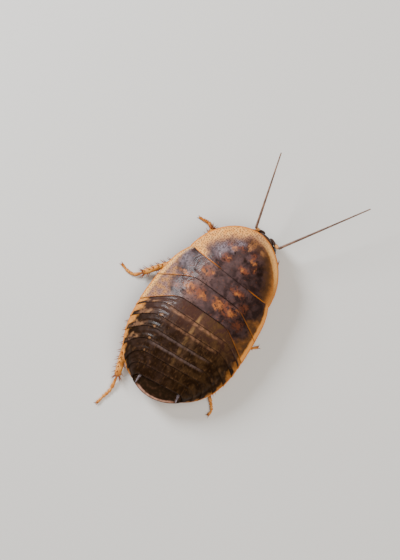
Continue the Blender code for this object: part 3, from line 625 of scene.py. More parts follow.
shield = {
    "rear": 6.2, "centre": 5.6, "halfWidth": 7.6, "reach": 8.6, "power": 1.9, "frontSpan": 70.0, "lift": 0.24,
    "edge": 0.42, "middle": 0.6, "shareLength": 7.9, "rimRound": 0.34, "rearRound": 0.16, "rimHeight": 0.05,
    "rim": ((0.3, 0.2, 1.0), (0.85, 0.3, -0.9)), "terrace": (0.72, 0.16, 0.07), "creases": ((0.76, 0.05, -0.04),),
    "furrowDepth": 0.075, "furrowCentre": (1.7, 8.4), "furrowWidth": 0.11,
    "furrows": (((1.5, 1.15), 1.0), ((1.85, 1.5), 0.55)),  # half widths and half lengths, strength
    # Dents: across, along, stretch across and along, radius, height
    "dents": (
        (1.8, 9.6, 1.0, 1.2, 0.42, -0.06), (1.8, 8.2, 1.0, 1.0, 0.35, -0.05), (3.0, 10.4, 0.8, 1.0, 0.5, -0.05),
        (2.5, 9.0, 1.0, 0.8, 0.45, 0.035),
    ),
    "rows": 76, "columns": 150,
}


def shieldHalfWidth(along):
    return shield["halfWidth"] * superellipse((along - shield["centre"]) / shield["reach"], shield["power"])


def shieldShare(across, along):
    ahead = max(0.0, along - shield["centre"]) / shield["reach"]
    return ((abs(across) / shield["halfWidth"]) ** shield["power"] + ahead ** shield["power"]) ** (1 / shield["power"])


def makeShield():
    power = 2 / shield["power"]

    def outlinePoint(angle):
        side, ahead = math.sin(angle), math.cos(angle)
        across = shield["halfWidth"] * math.copysign(abs(side) ** power, side)
        return Vector((across, shield["centre"] + shield["reach"] * max(ahead, 0.0) ** power))

    depth = (shield["rear"] - shield["centre"]) / shield["reach"]
    rearAngle = math.acos(depth ** (shield["power"] / 2))
    frontAngle = math.radians(shield["frontSpan"])
    corner = outlinePoint(rearAngle).x

    def station(t, v):
        point = outlinePoint(v * frontAngle).lerp(Vector((v * corner, shield["rear"])), t)
        for sign, share in ((left, (1 - v) / 2), (right, (1 + v) / 2)):
            here = outlinePoint(sign * (frontAngle + (rearAngle - frontAngle) * t))
            straight = outlinePoint(sign * frontAngle).lerp(outlinePoint(sign * rearAngle), t)
            point += (here - straight) * share
        return point.x, point.y

    def carve(across, along, share):
        u = across - midline(along)
        inward = (1 - share) * shield["shareLength"]
        start, width, rise = shield["terrace"]
        height = shield["rimHeight"] * ridges(inward, shield["rim"])
        height += rise * ease((start - share) / width) + ridges(share, shield["creases"])
        for sign in (left, right):
            gate = ease((8.55 - along) / 0.7) * ease((sign * u - 0.7) / 0.5)
            centre = (sign * shield["furrowCentre"][0], shield["furrowCentre"][1])
            for radii, strength in shield["furrows"]:
                height -= shield["furrowDepth"] * strength * gate * arc(u, along, centre, radii, shield["furrowWidth"])
            for x, y, wide, long, radius, raised in shield["dents"]:
                height += raised * ridge(math.hypot((u - sign * x) * wide, (along - y) * long), radius)
        return height + 0.02 * grain(across, along, 1.1) + 0.009 * grain(across, along, 3.4, 5.0)

    def heights(across, along, t, v):
        share = shieldShare(across, along)
        rim = rounded((1 - share) * shield["shareLength"], shield["rimRound"])
        rim *= rounded(along - shield["rear"], shield["rearRound"])
        thick = (shield["edge"] + (shield["middle"] - shield["edge"]) * arch(share)) / 2
        middle = dome(across, along, shieldHalfWidth) + shield["lift"] * t * t - thick
        return middle + thick * rim + carve(across, along, share) * ease(rim * 1.4), middle - thick * rim

    skin = plateSkin(
        steps(shield["rows"], 1.25), spread(shield["columns"]), station, heights,
        lambda across, along, v: shieldShare(across, along),
    )
    addPiece("pronotumShell", skin, "shield", ["pronotum"])


notum = {
    "lobe": (0.46, 1.12), "lift": 0.24, "edge": 0.36, "middle": 0.5, "overlap": 0.7, "tuck": 0.32,
    "sideRound": 0.3, "rearRound": 0.13, "rimHeight": 0.045, "rim": ((0.3, 0.2, 1.0), (0.8, 0.26, -1.0)),
    "groove": ((-0.2, 0.1, 0.04), (0.0, 0.1, -0.08)), "padRoot": (0.62, 0.05, -0.06), "eyeOut": 3.0,
    "wrinkles": {left: 0.022, right: 0.01}, "wrinkleRate": 15.0, "dimple": (0.2, 0.45, -0.05),
    "rows": 52, "columns": 170,
}
# Front and rear margin (middle, sweep), shoulder, eye of the wrinkles, groove (inner, outer, level, tilt)
notums = {
    "mesonotum": {
        "front": (shield["rear"], 0.0), "rear": (3.05, 2.85), "shoulder": 0.45, "eye": 4.9,
        "groove": (1.5, 4.5, 3.72, 0.08),
    },
    "metanotum": {
        "front": (3.05, 2.85), "rear": (-0.45, 3.5), "shoulder": 0.0, "eye": 1.6,
        "groove": (1.8, 4.9, 0.25, 0.07),
    },
}


def makeNotum(name):
    own = notums[name]
    front, rear, eye = own["front"], own["rear"], own["eye"]
    inner, outer, level, tilt = own["groove"]
    length = front[0] - rear[0]

    def station(t, v):
        start = rearMargin(front, notum["lobe"], v) - 0.02
        along = start + t * (rearMargin(rear, notum["lobe"], v) - start)
        return v * (bodyHalfWidth(along) - own["shoulder"] * max(0.0, 1 - 2 * t) ** 2 - 0.8 * ease(-t * 5)), along

    def carve(across, along, t, v):
        u = across - midline(along)
        sideways = (1 - abs(v)) * 9.0
        padRoot, padWidth, padHeight = notum["padRoot"]
        behind, radius, dimple = notum["dimple"]
        height = notum["rimHeight"] * ridges(sideways, notum["rim"])
        height += padHeight * ridge(abs(v) - padRoot + 0.1 * t, padWidth) * ease(t / 0.4)
        for sign in (left, right):
            reach = math.hypot(u - sign * notum["eyeOut"], (along - eye) * 1.05)
            phase = reach * notum["wrinkleRate"] + 2 * grain(across, along, 0.7)
            wrinkle = notum["wrinkles"][sign] * math.sin(phase)
            wrinkle *= ease((sign * u - 3.2) / 0.8) * ease((along - eye + 0.9) / 0.5)
            height += wrinkle * ease((reach - 0.9) / 0.3) * ease((2.7 - reach) / 0.5)
            within = ease((sign * u - inner) / 0.4) * ease((outer - sign * u) / 0.4)
            away = along - level - tilt * (sign * u - inner)
            height += within * ridges(away, notum["groove"])
            height += dimple * ridge(math.hypot(u - sign * notum["eyeOut"], along - eye + behind), radius)
        return height + 0.02 * grain(across, along, 0.9, 2.0) + 0.01 * grain(across, along, 3.0, 7.0)

    def heights(across, along, t, v):
        rim = rounded((1 - abs(v)) * bodyHalfWidth(along), notum["sideRound"])
        rim *= rounded((1 - t) * length, notum["rearRound"])
        thick = (notum["edge"] + (notum["middle"] - notum["edge"]) * arch(v)) / 2
        middle = dome(across, along) + notum["lift"] * max(t, 0.0) ** 2 - thick
        middle -= notum["tuck"] * ease(-t * length / notum["overlap"] * 1.5)
        carved = carve(across, along, max(t, 0.0), v) * rim * ease((t + 0.05) / 0.1)
        return middle + thick * rim + carved, middle - thick * rim

    rows = steps(notum["rows"], 1.5, -notum["overlap"] / length)
    skin = plateSkin(rows, spread(notum["columns"]), station, heights)
    addPiece(name + "Shell", skin, name, [name])


abdomen = {
    "rears": ((-2.4, 2.6), (-4.4, 2.4), (-6.35, 2.5), (-8.15, 2.75), (-10.0, 2.9), (-11.7, 2.1), (-13.3, 1.2)),
    "lobe": (0.56, 1.5), "cornerStep": 0.1, "lift": 0.18, "overlap": 0.55, "tuck": 0.13, "marginEdge": 0.4,
    "lipDrop": 0.13, "depth": 1.35, "frontDepth": 0.3, "sterniteLift": 0.12, "sideRound": 0.3, "lipRound": 0.1,
    "folds": ((0.0, 0.1, 0.03), (0.22, 0.09, -0.04), (0.42, 0.09, 0.026)), "rows": 26, "columns": 128,
}


def abdomenRing(number, front, frontLobe, rear):
    length = front[0] - rear[0]

    def station(t, v):
        start = rearMargin(front, frontLobe, v)
        along = start + t * (rearMargin(rear, abdomen["lobe"], v) - start)
        corner = abdomen["cornerStep"] * (max(t, 0.0) ** 2 - 0.5) * ease((along + 13) / 4)
        return v * (bodyHalfWidth(along) + corner - 0.25 * ease(-t * 3 - 0.4)), along

    def carve(across, along, t, v):
        out = abs(v)
        gate = ease((out - 0.42) / 0.12) * ease((0.84 - out) / 0.1)
        curve = t - 0.3 - 0.9 * max(0.0, out - 0.45) ** 2
        height = 0.025 * ridge(v, 0.02) * ease(t / 0.3) + gate * ridges(curve, abdomen["folds"])
        height -= 0.05 * ridge(out - 0.86, 0.03) + 0.01 * ridge(t - 0.8, 0.07) * ease((0.6 - out) / 0.1)
        height += 0.014 * grain(across, along, 1.6, number)
        return height + 0.012 * grain(across * 2.4, along * 0.5, 1.6, number + 3.0)

    def heights(across, along, t, v):
        side = rounded((1 - abs(v)) * max(bodyHalfWidth(along), 0.5), abdomen["sideRound"])
        lip = rounded((1 - t) * length, abdomen["lipRound"])
        tuck = abdomen["tuck"] * ease(-t * length / abdomen["overlap"])
        top = dome(across, along) + abdomen["lift"] * max(t, 0.0) ** 2 - tuck
        top -= abdomen["marginEdge"] / 2 * (1 - side) + abdomen["lipDrop"] * (1 - lip)
        top += carve(across, along, max(t, 0.0), v) * side * lip * ease((t + 0.05) / 0.1)
        fullness = clamp((notums["metanotum"]["rear"][0] - along) / 3.5)
        depth = abdomen["frontDepth"] + (abdomen["depth"] - abdomen["frontDepth"]) * fullness
        depth += abdomen["sterniteLift"] * (max(t, 0.0) - ease(-t * 3)) - 0.1 * (1 - lip)
        bottom = marginHeight(along) - abdomen["marginEdge"] * (0.5 + 0.5 * side) + 0.06 * ridge(abs(v) - 0.8, 0.04)
        return top, bottom - depth * arch(across / max(bodyHalfWidth(along), 0.001))

    rows = steps(abdomen["rows"], 1.5, -abdomen["overlap"] / length)
    return plateSkin(rows, spread(abdomen["columns"]), station, heights)


def makeAbdomen():
    fronts = [(notums["metanotum"]["rear"], notum["lobe"])] + [(rear, abdomen["lobe"]) for rear in abdomen["rears"]]
    rings = [abdomenRing(number, *fronts[number], rear) for number, rear in enumerate(abdomen["rears"])]
    addPiece("abdomenRings", gather(rings), "abdomen", ["abdomen"])


lastPlate = {
    "halfWidth": 4.3, "length": 2.5, "power": 2.0, "rim": 0.2, "crown": 1.45, "slope": 0.95, "depth": 0.5,
    "rows": 34, "columns": 64,
}


def makeLastPlate():
    rear = abdomen["rears"][-1]

    def station(t, v):
        half = lastPlate["halfWidth"] * superellipse(0.995 * max(t, 0.0), lastPlate["power"])
        front = rearMargin(rear, abdomen["lobe"], v * half / bodyHalfWidth(-13.5))
        return v * half, front - lastPlate["length"] * t

    def heights(across, along, t, v):
        rim = lastPlate["rim"] * rounded((1 - abs(v)) * 3.0, 0.25) * rounded((1 - t) * 2.7, 0.25)
        crown = lastPlate["crown"] - lastPlate["slope"] * max(t, 0)
        top = marginHeight(along) - 0.05 + crown * arch(v) - 0.12 * ease(-t * 4)
        top += rim + 0.03 * ridge(t - 0.75, 0.1) - 0.06 * ridge(v, 0.06) * ease((t - 0.5) / 0.4)
        return top, marginHeight(along) - 0.1 - rim - lastPlate["depth"] * arch(v) * (1 - 0.5 * t)

    def share(across, along, v):
        return math.hypot(across / lastPlate["halfWidth"], (rear[0] - along) / lastPlate["length"])

    rows = steps(lastPlate["rows"], 2.2, -0.25)
    skin = plateSkin(rows, spread(lastPlate["columns"]), station, heights, share)
    addPiece("lastPlateShell", skin, "last", ["anal_plate"])


core = {
    "bottom": 2.45, "halfWidth": 4.3, "neckHalfWidth": 1.9, "front": 12.5, "undercut": 1.6, "gap": 0.75,
    "thinnest": 0.6, "flare": 0.55, "hips": (10.3, 6.1, 1.6), "hipOut": 1.75, "hipDent": 0.16, "hipFold": 0.12,
    "sway": (0.12, 1.5), "rows": 90, "columns": 48,
}


def makeThorax():
    rear = notums["metanotum"]["rear"][0] - 0.6

    def station(t, v):
        along = core["front"] + (rear - core["front"]) * t
        half = core["halfWidth"] - (core["halfWidth"] - core["neckHalfWidth"]) * max(0, 1 - 3 * t) ** 2
        return v * (half + core["sway"][0] * math.sin(along * core["sway"][1])), along

    def heights(across, along, t, v):
        halfWidth = shieldHalfWidth if along > shield["rear"] else bodyHalfWidth
        top = min(dome(across, along, halfWidth), dome(across, along)) - core["gap"]
        bottom = core["bottom"] + core["flare"] * abs(v) ** 4 + 0.1
        for hip in core["hips"]:
            bottom -= core["hipDent"] * ridge(math.hypot(abs(across) - core["hipOut"], (along - hip + 0.6) * 0.7), 0.9)
            bottom += core["hipFold"] * ridge(along - hip - 1.5, 0.22)
        bottom += 0.1 * ridge(across, 0.25) + 0.03 * grain(across, along, 2.0, 9.0)
        return max(top, core["bottom"] + core["thinnest"]), bottom

    ts, vs = steps(core["rows"]), spread(core["columns"])
    skin = plateSkin(ts, vs, station, heights)
    for number, point in enumerate(skin[0][len(ts) * len(vs):]):  # the front face leans along the back of the head
        point.y += core["undercut"] * (1 - ts[number // len(vs)]) ** 6 * mm
    addPiece("thoraxSkin", skin, "belly", ["thorax"])


makeShield()
makeNotum("mesonotum")
makeNotum("metanotum")
makeAbdomen()
makeLastPlate()
makeThorax()
print("plates made")

socketKinds = {"Rings": "Int", "Seed": "Int", "Material": "Material"}  # the others are numbers


def newTree(name, *labels):  # a Geometry Nodes tree with named inputs
    tree = bpy.data.node_groups.new(name, "GeometryNodeTree")
    for side in ("OUTPUT", "INPUT"):
        tree.interface.new_socket("Geometry", in_out=side, socket_type="NodeSocketGeometry")
    for label in (*labels, "Material"):
        tree.interface.new_socket(label, in_out="INPUT", socket_type="NodeSocket" + socketKinds.get(label, "Float"))
    nodes = Nodes(tree)
    start = nodes.add("NodeGroupInput").socket.node
    return nodes, {socket.name: Wire(nodes, socket) for socket in start.outputs if socket.name}


def endTree(nodes, shape, material):  # plain, smooth and never below the floor
    plain = nodes.add("GeometryNodeRealizeInstances", (shape,))
    x, y, z = nodes.split(nodes.add("GeometryNodeInputPosition"))
    above = nodes.add("GeometryNodeSetPosition", {"Geometry": plain, "Position": nodes.join(x, y, z.either(0.0))})
    smooth = nodes.add("GeometryNodeSetShadeSmooth", (above,))
    painted = nodes.add("GeometryNodeSetMaterial", {"Geometry": smooth, "Material": material})
    nodes.add("NodeGroupOutput", (painted,))
    return nodes.tree


def readField(nodes, name):
    return nodes.add("GeometryNodeInputNamedAttribute", {"Name": name}, data_type="FLOAT_VECTOR")


def cone(nodes, given, vertices, rows, point):
    return nodes.add("GeometryNodeMeshCone", {
        "Vertices": vertices, "Side Segments": rows, "Radius Top": given["Radius"] * point,
        "Radius Bottom": given["Radius"], "Depth": given["Length"],
    })


def endWithCopies(nodes, given, points, piece, lean, size):  # a copy on each point, its z along lean
    turn = nodes.add("FunctionNodeAlignRotationToVector", {"Vector": lean}, axis="Z")
    sockets = {"Points": points, "Instance": piece, "Rotation": turn, "Scale": size}
    return endTree(nodes, nodes.add("GeometryNodeInstanceOnPoints", sockets), given["Material"])


def ringedTree():  # a jointed, tapering stalk along a line of points
    nodes, given = newTree("ringedStalk", "Rings", "Root Radius", "Tip Radius", "Swelling")
    curve = nodes.add("GeometryNodeMeshToCurve", (given["Geometry"],))
    curve = nodes.add("GeometryNodeResampleCurve", {"Curve": curve, "Count": given["Rings"] * 6 + 1})
    share = nodes.add("GeometryNodeSplineParameter")
    bulge = ((share * given["Rings"]).fraction() * math.pi).sine().either(0.0) ** 0.45
    radius = given["Root Radius"] + (given["Tip Radius"] - given["Root Radius"]) * share
    radius = radius * (1 - given["Swelling"] + given["Swelling"] * bulge)
    profile = nodes.add("GeometryNodeCurvePrimitiveCircle", {"Resolution": 14, "Radius": 1.0})
    sockets = {"Curve": curve, "Profile Curve": profile, "Scale": radius, "Fill Caps": True}
    return endTree(nodes, nodes.add("GeometryNodeCurveToMesh", sockets), given["Material"])


def spineTree():  # a curved spine on each point, pointing where the point's "lean" says
    nodes, given = newTree("spines", "Length", "Radius", "Hook")
    height = nodes.split(nodes.add("GeometryNodeInputPosition"))[2] / given["Length"]
    offset = nodes.join(height * height * given["Hook"] * given["Length"], 0.0, 0.0)
    spine = nodes.add("GeometryNodeSetPosition", {"Geometry": cone(nodes, given, 8, 6, 0.06), "Offset": offset})
    return endWithCopies(nodes, given, given["Geometry"], spine, readField(nodes, "lean"), readField(nodes, "size"))


def bristleTree():  # fine hairs strewn over a limb, lying towards its tip
    nodes, given = newTree("bristles", "Density", "Length", "Radius", "Lay", "Seed")
    sockets = {"Mesh": given["Geometry"], "Density": given["Density"], "Seed": given["Seed"]}
    points = nodes.add("GeometryNodeDistributePointsOnFaces", sockets)
    normal = Wire(nodes, points.socket.node.outputs["Normal"])
    flow = {0: readField(nodes, "flow"), "Scale": given["Lay"]}
    away = nodes.vector("ADD", normal, nodes.add("ShaderNodeVectorMath", flow, operation="SCALE"))
    chance = nodes.add("FunctionNodeRandomValue", {2: 0.6, 3: 1.15, "Seed": given["Seed"]}, 1)
    return endWithCopies(nodes, given, points, cone(nodes, given, 3, 1, 0.1), away, chance)


def facetTree():  # a low dome on each point of an eye
    nodes, given = newTree("facets", "Radius")
    facet = nodes.add("GeometryNodeMeshUVSphere", {"Segments": 6, "Rings": 4, "Radius": given["Radius"]})
    return endWithCopies(nodes, given, given["Geometry"], facet, readField(nodes, "lean"), (1.0, 1.0, 0.55))


trees = {"ringed": ringedTree(), "spine": spineTree(), "bristle": bristleTree(), "facet": facetTree()}
print("geometry node trees:", len(trees))


def seedMesh(name, points, joined=False, **fields):  # the points that a tree grows on
    mesh = bpy.data.meshes.new(name)
    mesh.from_pydata(points, [(i, i + 1) for i in range(len(points) - 1)] if joined else [], [])
    for key, values in fields.items():
        setField(mesh, key, values)
    return mesh


def grow(name, seed, treeName, values, finishName, replaced=()):  # keeps the plain result of a tree
    carrier = addObject(name + "Seed", seed)
    modifier = carrier.modifiers.new("grow", "NODES")
    modifier.node_group = trees[treeName]
    values = {**values, "Material": finishes[finishName]}
    for item in modifier.node_group.interface.items_tree:
        if item.in_out == "INPUT" and item.name in values:
            modifier[item.identifier] = values[item.name]
    bpy.context.view_layer.update()
    graph = bpy.context.evaluated_depsgraph_get()
    mesh = bpy.data.meshes.new_from_object(carrier.evaluated_get(graph))
    bpy.data.objects.remove(carrier)
    mesh.name = name
    return settle(name, mesh, finishName, replaced)


def addBristles(name, mesh, hairs, flow=None):  # hairs: number to a square mm, length, radius, lay
    seed = mesh.copy()
    if flow:
        setField(seed, "flow", [flow] * len(seed.vertices))
    density, length, radius, lay = hairs
    sizes = {"Density": density / mm**2, "Length": length * mm, "Radius": radius * mm, "Lay": lay, "Seed": 7}
    grow(name, seed, "bristle", sizes, "bristle")


def makeStalk(name, hairsName, root, tip, values, kind, replaced=()):  # kind is its finish
    count, bow = values["steps"], Vector((0, 0, values["bow"] * mm))
    line = [root.lerp(tip, i / count) + bow * math.sin(math.pi * i / count) for i in range(count + 1)]
    sizes = {
        "Rings": values["rings"], "Root Radius": values["rootRadius"] * mm, "Tip Radius": values["tipRadius"] * mm,
        "Swelling": values["swelling"],
    }
    stalk = grow(name, seedMesh(name, line, True), "ringed", sizes, kind, replaced)
    addBristles(hairsName, stalk.data, values["hairs"], (tip - root).normalized())


def turns(count):
    return [2 * math.pi * k / count for k in range(count)]


def oval(centre, side, up, width, height, count, swell=None):  # half sizes in mm; swell(angle) gives two factors
    ring = []
    for angle in turns(count):
        wider, higher = swell(angle) if swell else (1, 1)
        sideways = side * (width * wider * mm * math.cos(angle))
        ring.append(centre + sideways + up * (height * higher * mm * math.sin(angle)))
    return ring


def ringSkin(rings, fields=None):  # a closed skin over rings of points
    count = len(rings[0])
    points = [point for ring in rings for point in ring]
    faces = []
    for i in range(len(rings) - 1):
        for k in range(count):
            a, b = i * count + k, i * count + (k + 1) % count
            faces.append((a, b, b + count, a + count))
    for ring, flip in ((0, True), (len(rings) - 1, False)):
        points.append(sum(rings[ring], Vector()) / count)
        for k in range(count):
            a, b = ring * count + k, ring * count + (k + 1) % count
            faces.append((len(points) - 1, b, a) if flip else (len(points) - 1, a, b))
    values = {name: value + [value[0], value[-1]] for name, value in (fields or {}).items()}
    return points, outward(points, faces), values


def outward(points, faces):  # faces turned so that the skin's volume is positive
    volume = 0.0
    for face in faces:
        a = points[face[0]]
        for i in range(1, len(face) - 1):
            volume += a.dot(points[face[i]].cross(points[face[i + 1]]))
    return faces if volume > 0 else [tuple(reversed(face)) for face in faces]


def smoothPath(corners, count):  # a Catmull-Rom curve, count points to each stretch
    ends = [corners[0] * 2 - corners[1], *corners, corners[-1] * 2 - corners[-2]]
    path = []
    for i in range(1, len(ends) - 2):
        p0, p1, p2, p3 = ends[i - 1 : i + 3]
        for k in range(count):
            t = k / count
            bend = (2 * p0 - 5 * p1 + 4 * p2 - p3) * t * t + (3 * p1 - p0 - 3 * p2 + p3) * t * t * t
            path.append(0.5 * (2 * p1 + (p2 - p0) * t + bend))
    return [*path, corners[-1]]


def evenly(path, count):  # count + 1 points at equal steps along a path
    reached = [0.0]
    for a, b in zip(path, path[1:]):
        reached.append(reached[-1] + (b - a).length)
    points, i = [path[0]], 0
    for k in range(1, count):
        target = reached[-1] * k / count
        while reached[i + 1] < target:
            i += 1
        share = (target - reached[i]) / (reached[i + 1] - reached[i])
        points.append(path[i].lerp(path[i + 1], share))
    return [*points, path[-1]]


def limb(path, size, kind, count=18, carve=None):  # of oval section; size(share) gives half width and half height
    rings, shares, flows = [], [], []
    last = len(path) - 1
    for i, centre in enumerate(path):
        share = i / last
        ahead = (path[min(i + 1, last)] - path[max(i - 1, 0)]).normalized()
        side = ahead.cross(upright)
        side = (side if side.length > 0.1 else ahead.cross(Vector((0, 1, 0)))).normalized()
        swell = (lambda angle: (1 + carve(share, angle),) * 2) if carve else None
        ring = oval(centre, side, side.cross(ahead), *size(share), count, swell)
        rings.append([Vector((point.x, point.y, max(point.z, 0.0))) for point in ring])
        shares += [(share, kind, k / count) for k in range(count)]
        flows += [ahead] * count
    return ringSkin(rings, {"limbShare": shares, "flow": flows})


def capped(share, ends=0.08):  # rounds a segment's two ends off
    return rounded(share, ends) * rounded(1 - share, ends) * 0.97 + 0.03


def beaded(share, joints):  # a swelling for each joint of a palp
    within = (share * joints) % 1.0 if share < 1 else 1.0
    return (0.72 + 0.28 * math.sin(math.pi * min(1.0, within * 0.9 + 0.05)) ** 0.6) * capped(share, 0.06)


head = {
    "shift": 0.4, "crown": (14.35, 3.2), "mouth": (11.35, 0.85), "halfWidth": 2.25, "halfDepth": 1.05,
    "widest": 0.4, "narrowing": (0.6, 0.42), "socket": (0.2, 0.42), "rings": 44, "sides": 64,
    "eyeCentre": 0.35, "eyeReach": 0.22, "eyeSpread": 0.52, "eyeTilt": 0.12, "eyeBack": 0.1, "eyeHeight": 0.4,
    "eyeRings": (1.0, 0.98, 0.94, 0.88, 0.8, 0.7, 0.58, 0.46, 0.34, 0.22, 0.1, 0.02), "eyeSides": 40,
    "facetRadius": 0.034, "facetStep": (0.056, 0.052), "facetRows": 20,
    # Pads of the face: sideways, ahead, start and end from crown to mouth, half width, half depth, notch
    "lips": ((0.0, -0.1, 0.5, 0.86, 0.85, 0.22, 0.0), (0.0, -0.08, 0.82, 1.1, 0.72, 0.24, 0.35)),
    "jaw": (0.78, -0.42, 0.72, 1.06, 0.4, 0.36, 0.0), "lowerPalp": (0.22, 0.2),
    "neckEnd": (11.6, 3.5), "neckSize": (1.5, 0.75), "neckFold": 0.06, "neckRings": 24,
}


def headFrame():  # crown, mouth, and the ways down the face, to its right and out of it
    crown, mouth = place(head["shift"], *head["crown"]), place(head["shift"], *head["mouth"])
    down = (mouth - crown).normalized()
    side = (place(head["shift"] + 1, *head["crown"]) - crown).normalized()
    return crown, mouth, down, side, side.cross(down).normalized()


def headPoint(q, angle, grown=0.0):  # q from crown to mouth, angle from the right side round to the face
    crown, mouth, _, side, forward = headFrame()
    widest, (narrower, thinner) = head["widest"], head["narrowing"]
    crest = math.sqrt(max(0.0, 1 - (1 - min(1.0, (q + 0.004) / widest)) ** 2))
    below = max(0.0, q - widest) / (1 - widest)
    halfWidth = head["halfWidth"] * crest * (1 - narrower * below**1.3) + grown
    halfDepth = head["halfDepth"] * crest**0.8 * (1 - thinner * below) + grown
    sideways = side * (halfWidth * mm * math.cos(angle))
    return crown.lerp(mouth, q) + sideways + forward * (halfDepth * mm * math.sin(angle))


def makeHead():
    crown, mouth, down, side, forward = headFrame()

    def carve(q, angle):
        front = angle - math.pi / 2
        height = -0.05 * ridge(front, 0.06) * ease((0.3 - q) / 0.2)
        height -= 0.06 * ridge(q - 0.5 - 0.08 * front * front, 0.02) * ease((0.8 - abs(front)) / 0.2)
        height -= 0.05 * ridge(abs(front) - 0.85, 0.07) * ease((q - 0.4) / 0.1)
        for sign in (left, right):
            away = math.hypot((q - head["socket"][0]) * 3.8, (front + sign * head["socket"][1]) * 1.7)
            height += 0.12 * ridge(away - 0.42, 0.1) - 0.16 * ridge(away, 0.3)
        return height + 0.012 * grain(q * 4, angle, 3.0)

    rings = []
    for q in (share**1.35 for share in steps(head["rings"])):
        rings.append([headPoint(q, turn, carve(q, turn) * ease(q / 0.03)) for turn in turns(head["sides"])])
    addPiece("headCapsule", ringSkin(rings), "face", ["head"])

    def pad(sideways, ahead, start, end, halfWidth, halfDepth, notch):
        rings = []
        for i in range(17):
            q = start + (end - start) * i / 16
            size = max(0.06, math.sqrt(max(0.0, 1 - (1 - i / 8) ** 2)))
            centre = headPoint(min(q, 1.0), math.pi / 2) + forward * (ahead * mm) + side * (sideways * mm)
            centre += down * (max(0.0, q - 1) * (mouth - crown).length)
            rings.append(oval(
                centre, side, forward, halfWidth * size, halfDepth * size, 24,
                lambda angle: (1, 1 - notch * ridge(math.cos(angle), 0.2) * (i / 16)),
            ))
        return ringSkin(rings)

    def palpSize(share):
        return [half * beaded(share, 3) for half in head["lowerPalp"]]

    parts = [pad(*lip) for lip in head["lips"]]
    for sign in (left, right):
        parts.append(pad(sign * head["jaw"][0], *head["jaw"][1:]))
        root = mouth - forward * (0.25 * mm) + side * (sign * 0.35 * mm) - down * (0.3 * mm)
        bend = root + down * (0.55 * mm) + side * (sign * 0.3 * mm) - forward * (0.2 * mm)
        tip = bend + side * (sign * 0.35 * mm) - Vector((0, 0, 0.25 * mm)) + forward * (0.2 * mm)
        parts.append((*limb(smoothPath([root, bend, tip], 12), palpSize, 3.0, 12)[:2], {}))
    addPiece("mouthParts", gather(parts), "mouth")
    start, end = headPoint(0.42, -math.pi / 2, -0.5), place(head["shift"] * 0.6, *head["neckEnd"])
    back, rings, last = down.lerp(upright, 0.5), [], head["neckRings"]
    for i in range(last + 1):
        sizes = [half * (1 + head["neckFold"] * math.sin(i * 1.6)) for half in head["neckSize"]]
        rings.append(oval(start.lerp(end, i / last), side, back, *sizes, 32))
    addPiece("neckSkin", ringSkin(rings), "neck")


def makeEye(name, sign, node):  # a smooth swelling with facets on it
    turn = 0.0 if sign == right else math.pi

    def spot(u, w, swell):  # u down the face and w round it, -1 to 1 over the eye
        around = head["eyeSpread"] * w + head["eyeTilt"] * u * u + head["eyeBack"]
        return headPoint(head["eyeCentre"] + head["eyeReach"] * u, turn + sign * around, swell)

    def ring(share, swell):
        return [spot(share * math.cos(angle), share * math.sin(angle), swell) for angle in turns(head["eyeSides"])]

    def height(share):
        return 0.1 + head["eyeHeight"] * math.sqrt(max(0.0, 1 - share**2)) ** 0.8

    rings = [ring(share, -0.05) for share in (0.02, 0.5, 0.97)]
    rings += [ring(share, height(share)) for share in head["eyeRings"]]
    addPiece(name, ringSkin(rings), "eye", [node])
    centre = headPoint(head["eyeCentre"], turn, -1.2)
    points, (rowStep, columnStep), most = [], head["facetStep"], head["facetRows"]
    for row in range(-most, most + 1):  # every other row half a step on
        for column in range(-most, most + 1):
            u, w = row * rowStep, (column + row % 2 / 2) * columnStep
            share = math.hypot(u, w)
            if share < 0.97:
                points.append(spot(u, w, height(share) - 0.012))
    seed = seedMesh(name + "Points", points, lean=[(point - centre).normalized() for point in points])
    grow(name + "Facets", seed, "facet", {"Radius": head["facetRadius"] * mm}, "eye")


feeler = {
    "roots": {left: (-1.75, 14.3), right: (2.87, 14.32)}, "scapeTop": 3.35,
    "tips": {left: (-7.24, 24.5, 5.2), right: (7.98, 29.34, 5.0)}, "scape": ((0.18, 0.13), (0.17, 0.12)),
    "ball": 0.62, "bow": 0.35, "steps": 40, "rings": 74, "rootRadius": 0.21, "tipRadius": 0.095,
    "swelling": 0.13, "hairs": (26.0, 0.16, 0.009, 1.2),
}


def makeFeeler(name, sign, node):
    root = headPoint(head["socket"][0], math.pi / 2 - sign * head["socket"][1], -0.1)
    stem = root + headFrame()[-1] * (0.5 * mm)
    knee = place(*feeler["roots"][sign], feeler["scapeTop"])
    path = evenly(smoothPath([root, stem, stem.lerp(knee, 0.5), knee], 10), 34)
    ball = feeler["ball"]

    def scape(share):
        thin, swollen = feeler["scape"][share >= ball]  # the stem, then the ball
        within = share / ball if share < ball else (share - ball) / (1 - ball)
        width = (thin + swollen * math.sin(math.pi * within) ** 0.7) * capped(share, 0.04)
        return width, width

    addPiece(name + "Scape", limb(path, scape, 3.0, 16), "scape", [node])
    makeStalk(name + "Lash", name + "Hairs", knee, place(*feeler["tips"][sign]), feeler, "feeler")


palp = {  # route: places of its joints from the root, outwards, ahead and up
    "route": ((0.42, 0.1, -0.02), (0.7, 0.7, 0.0), (0.65, 1.3, -0.15), (0.5, 1.7, -0.5)), "radius": 0.25,
    "hairs": (14.0, 0.14, 0.008, 1.2),
}


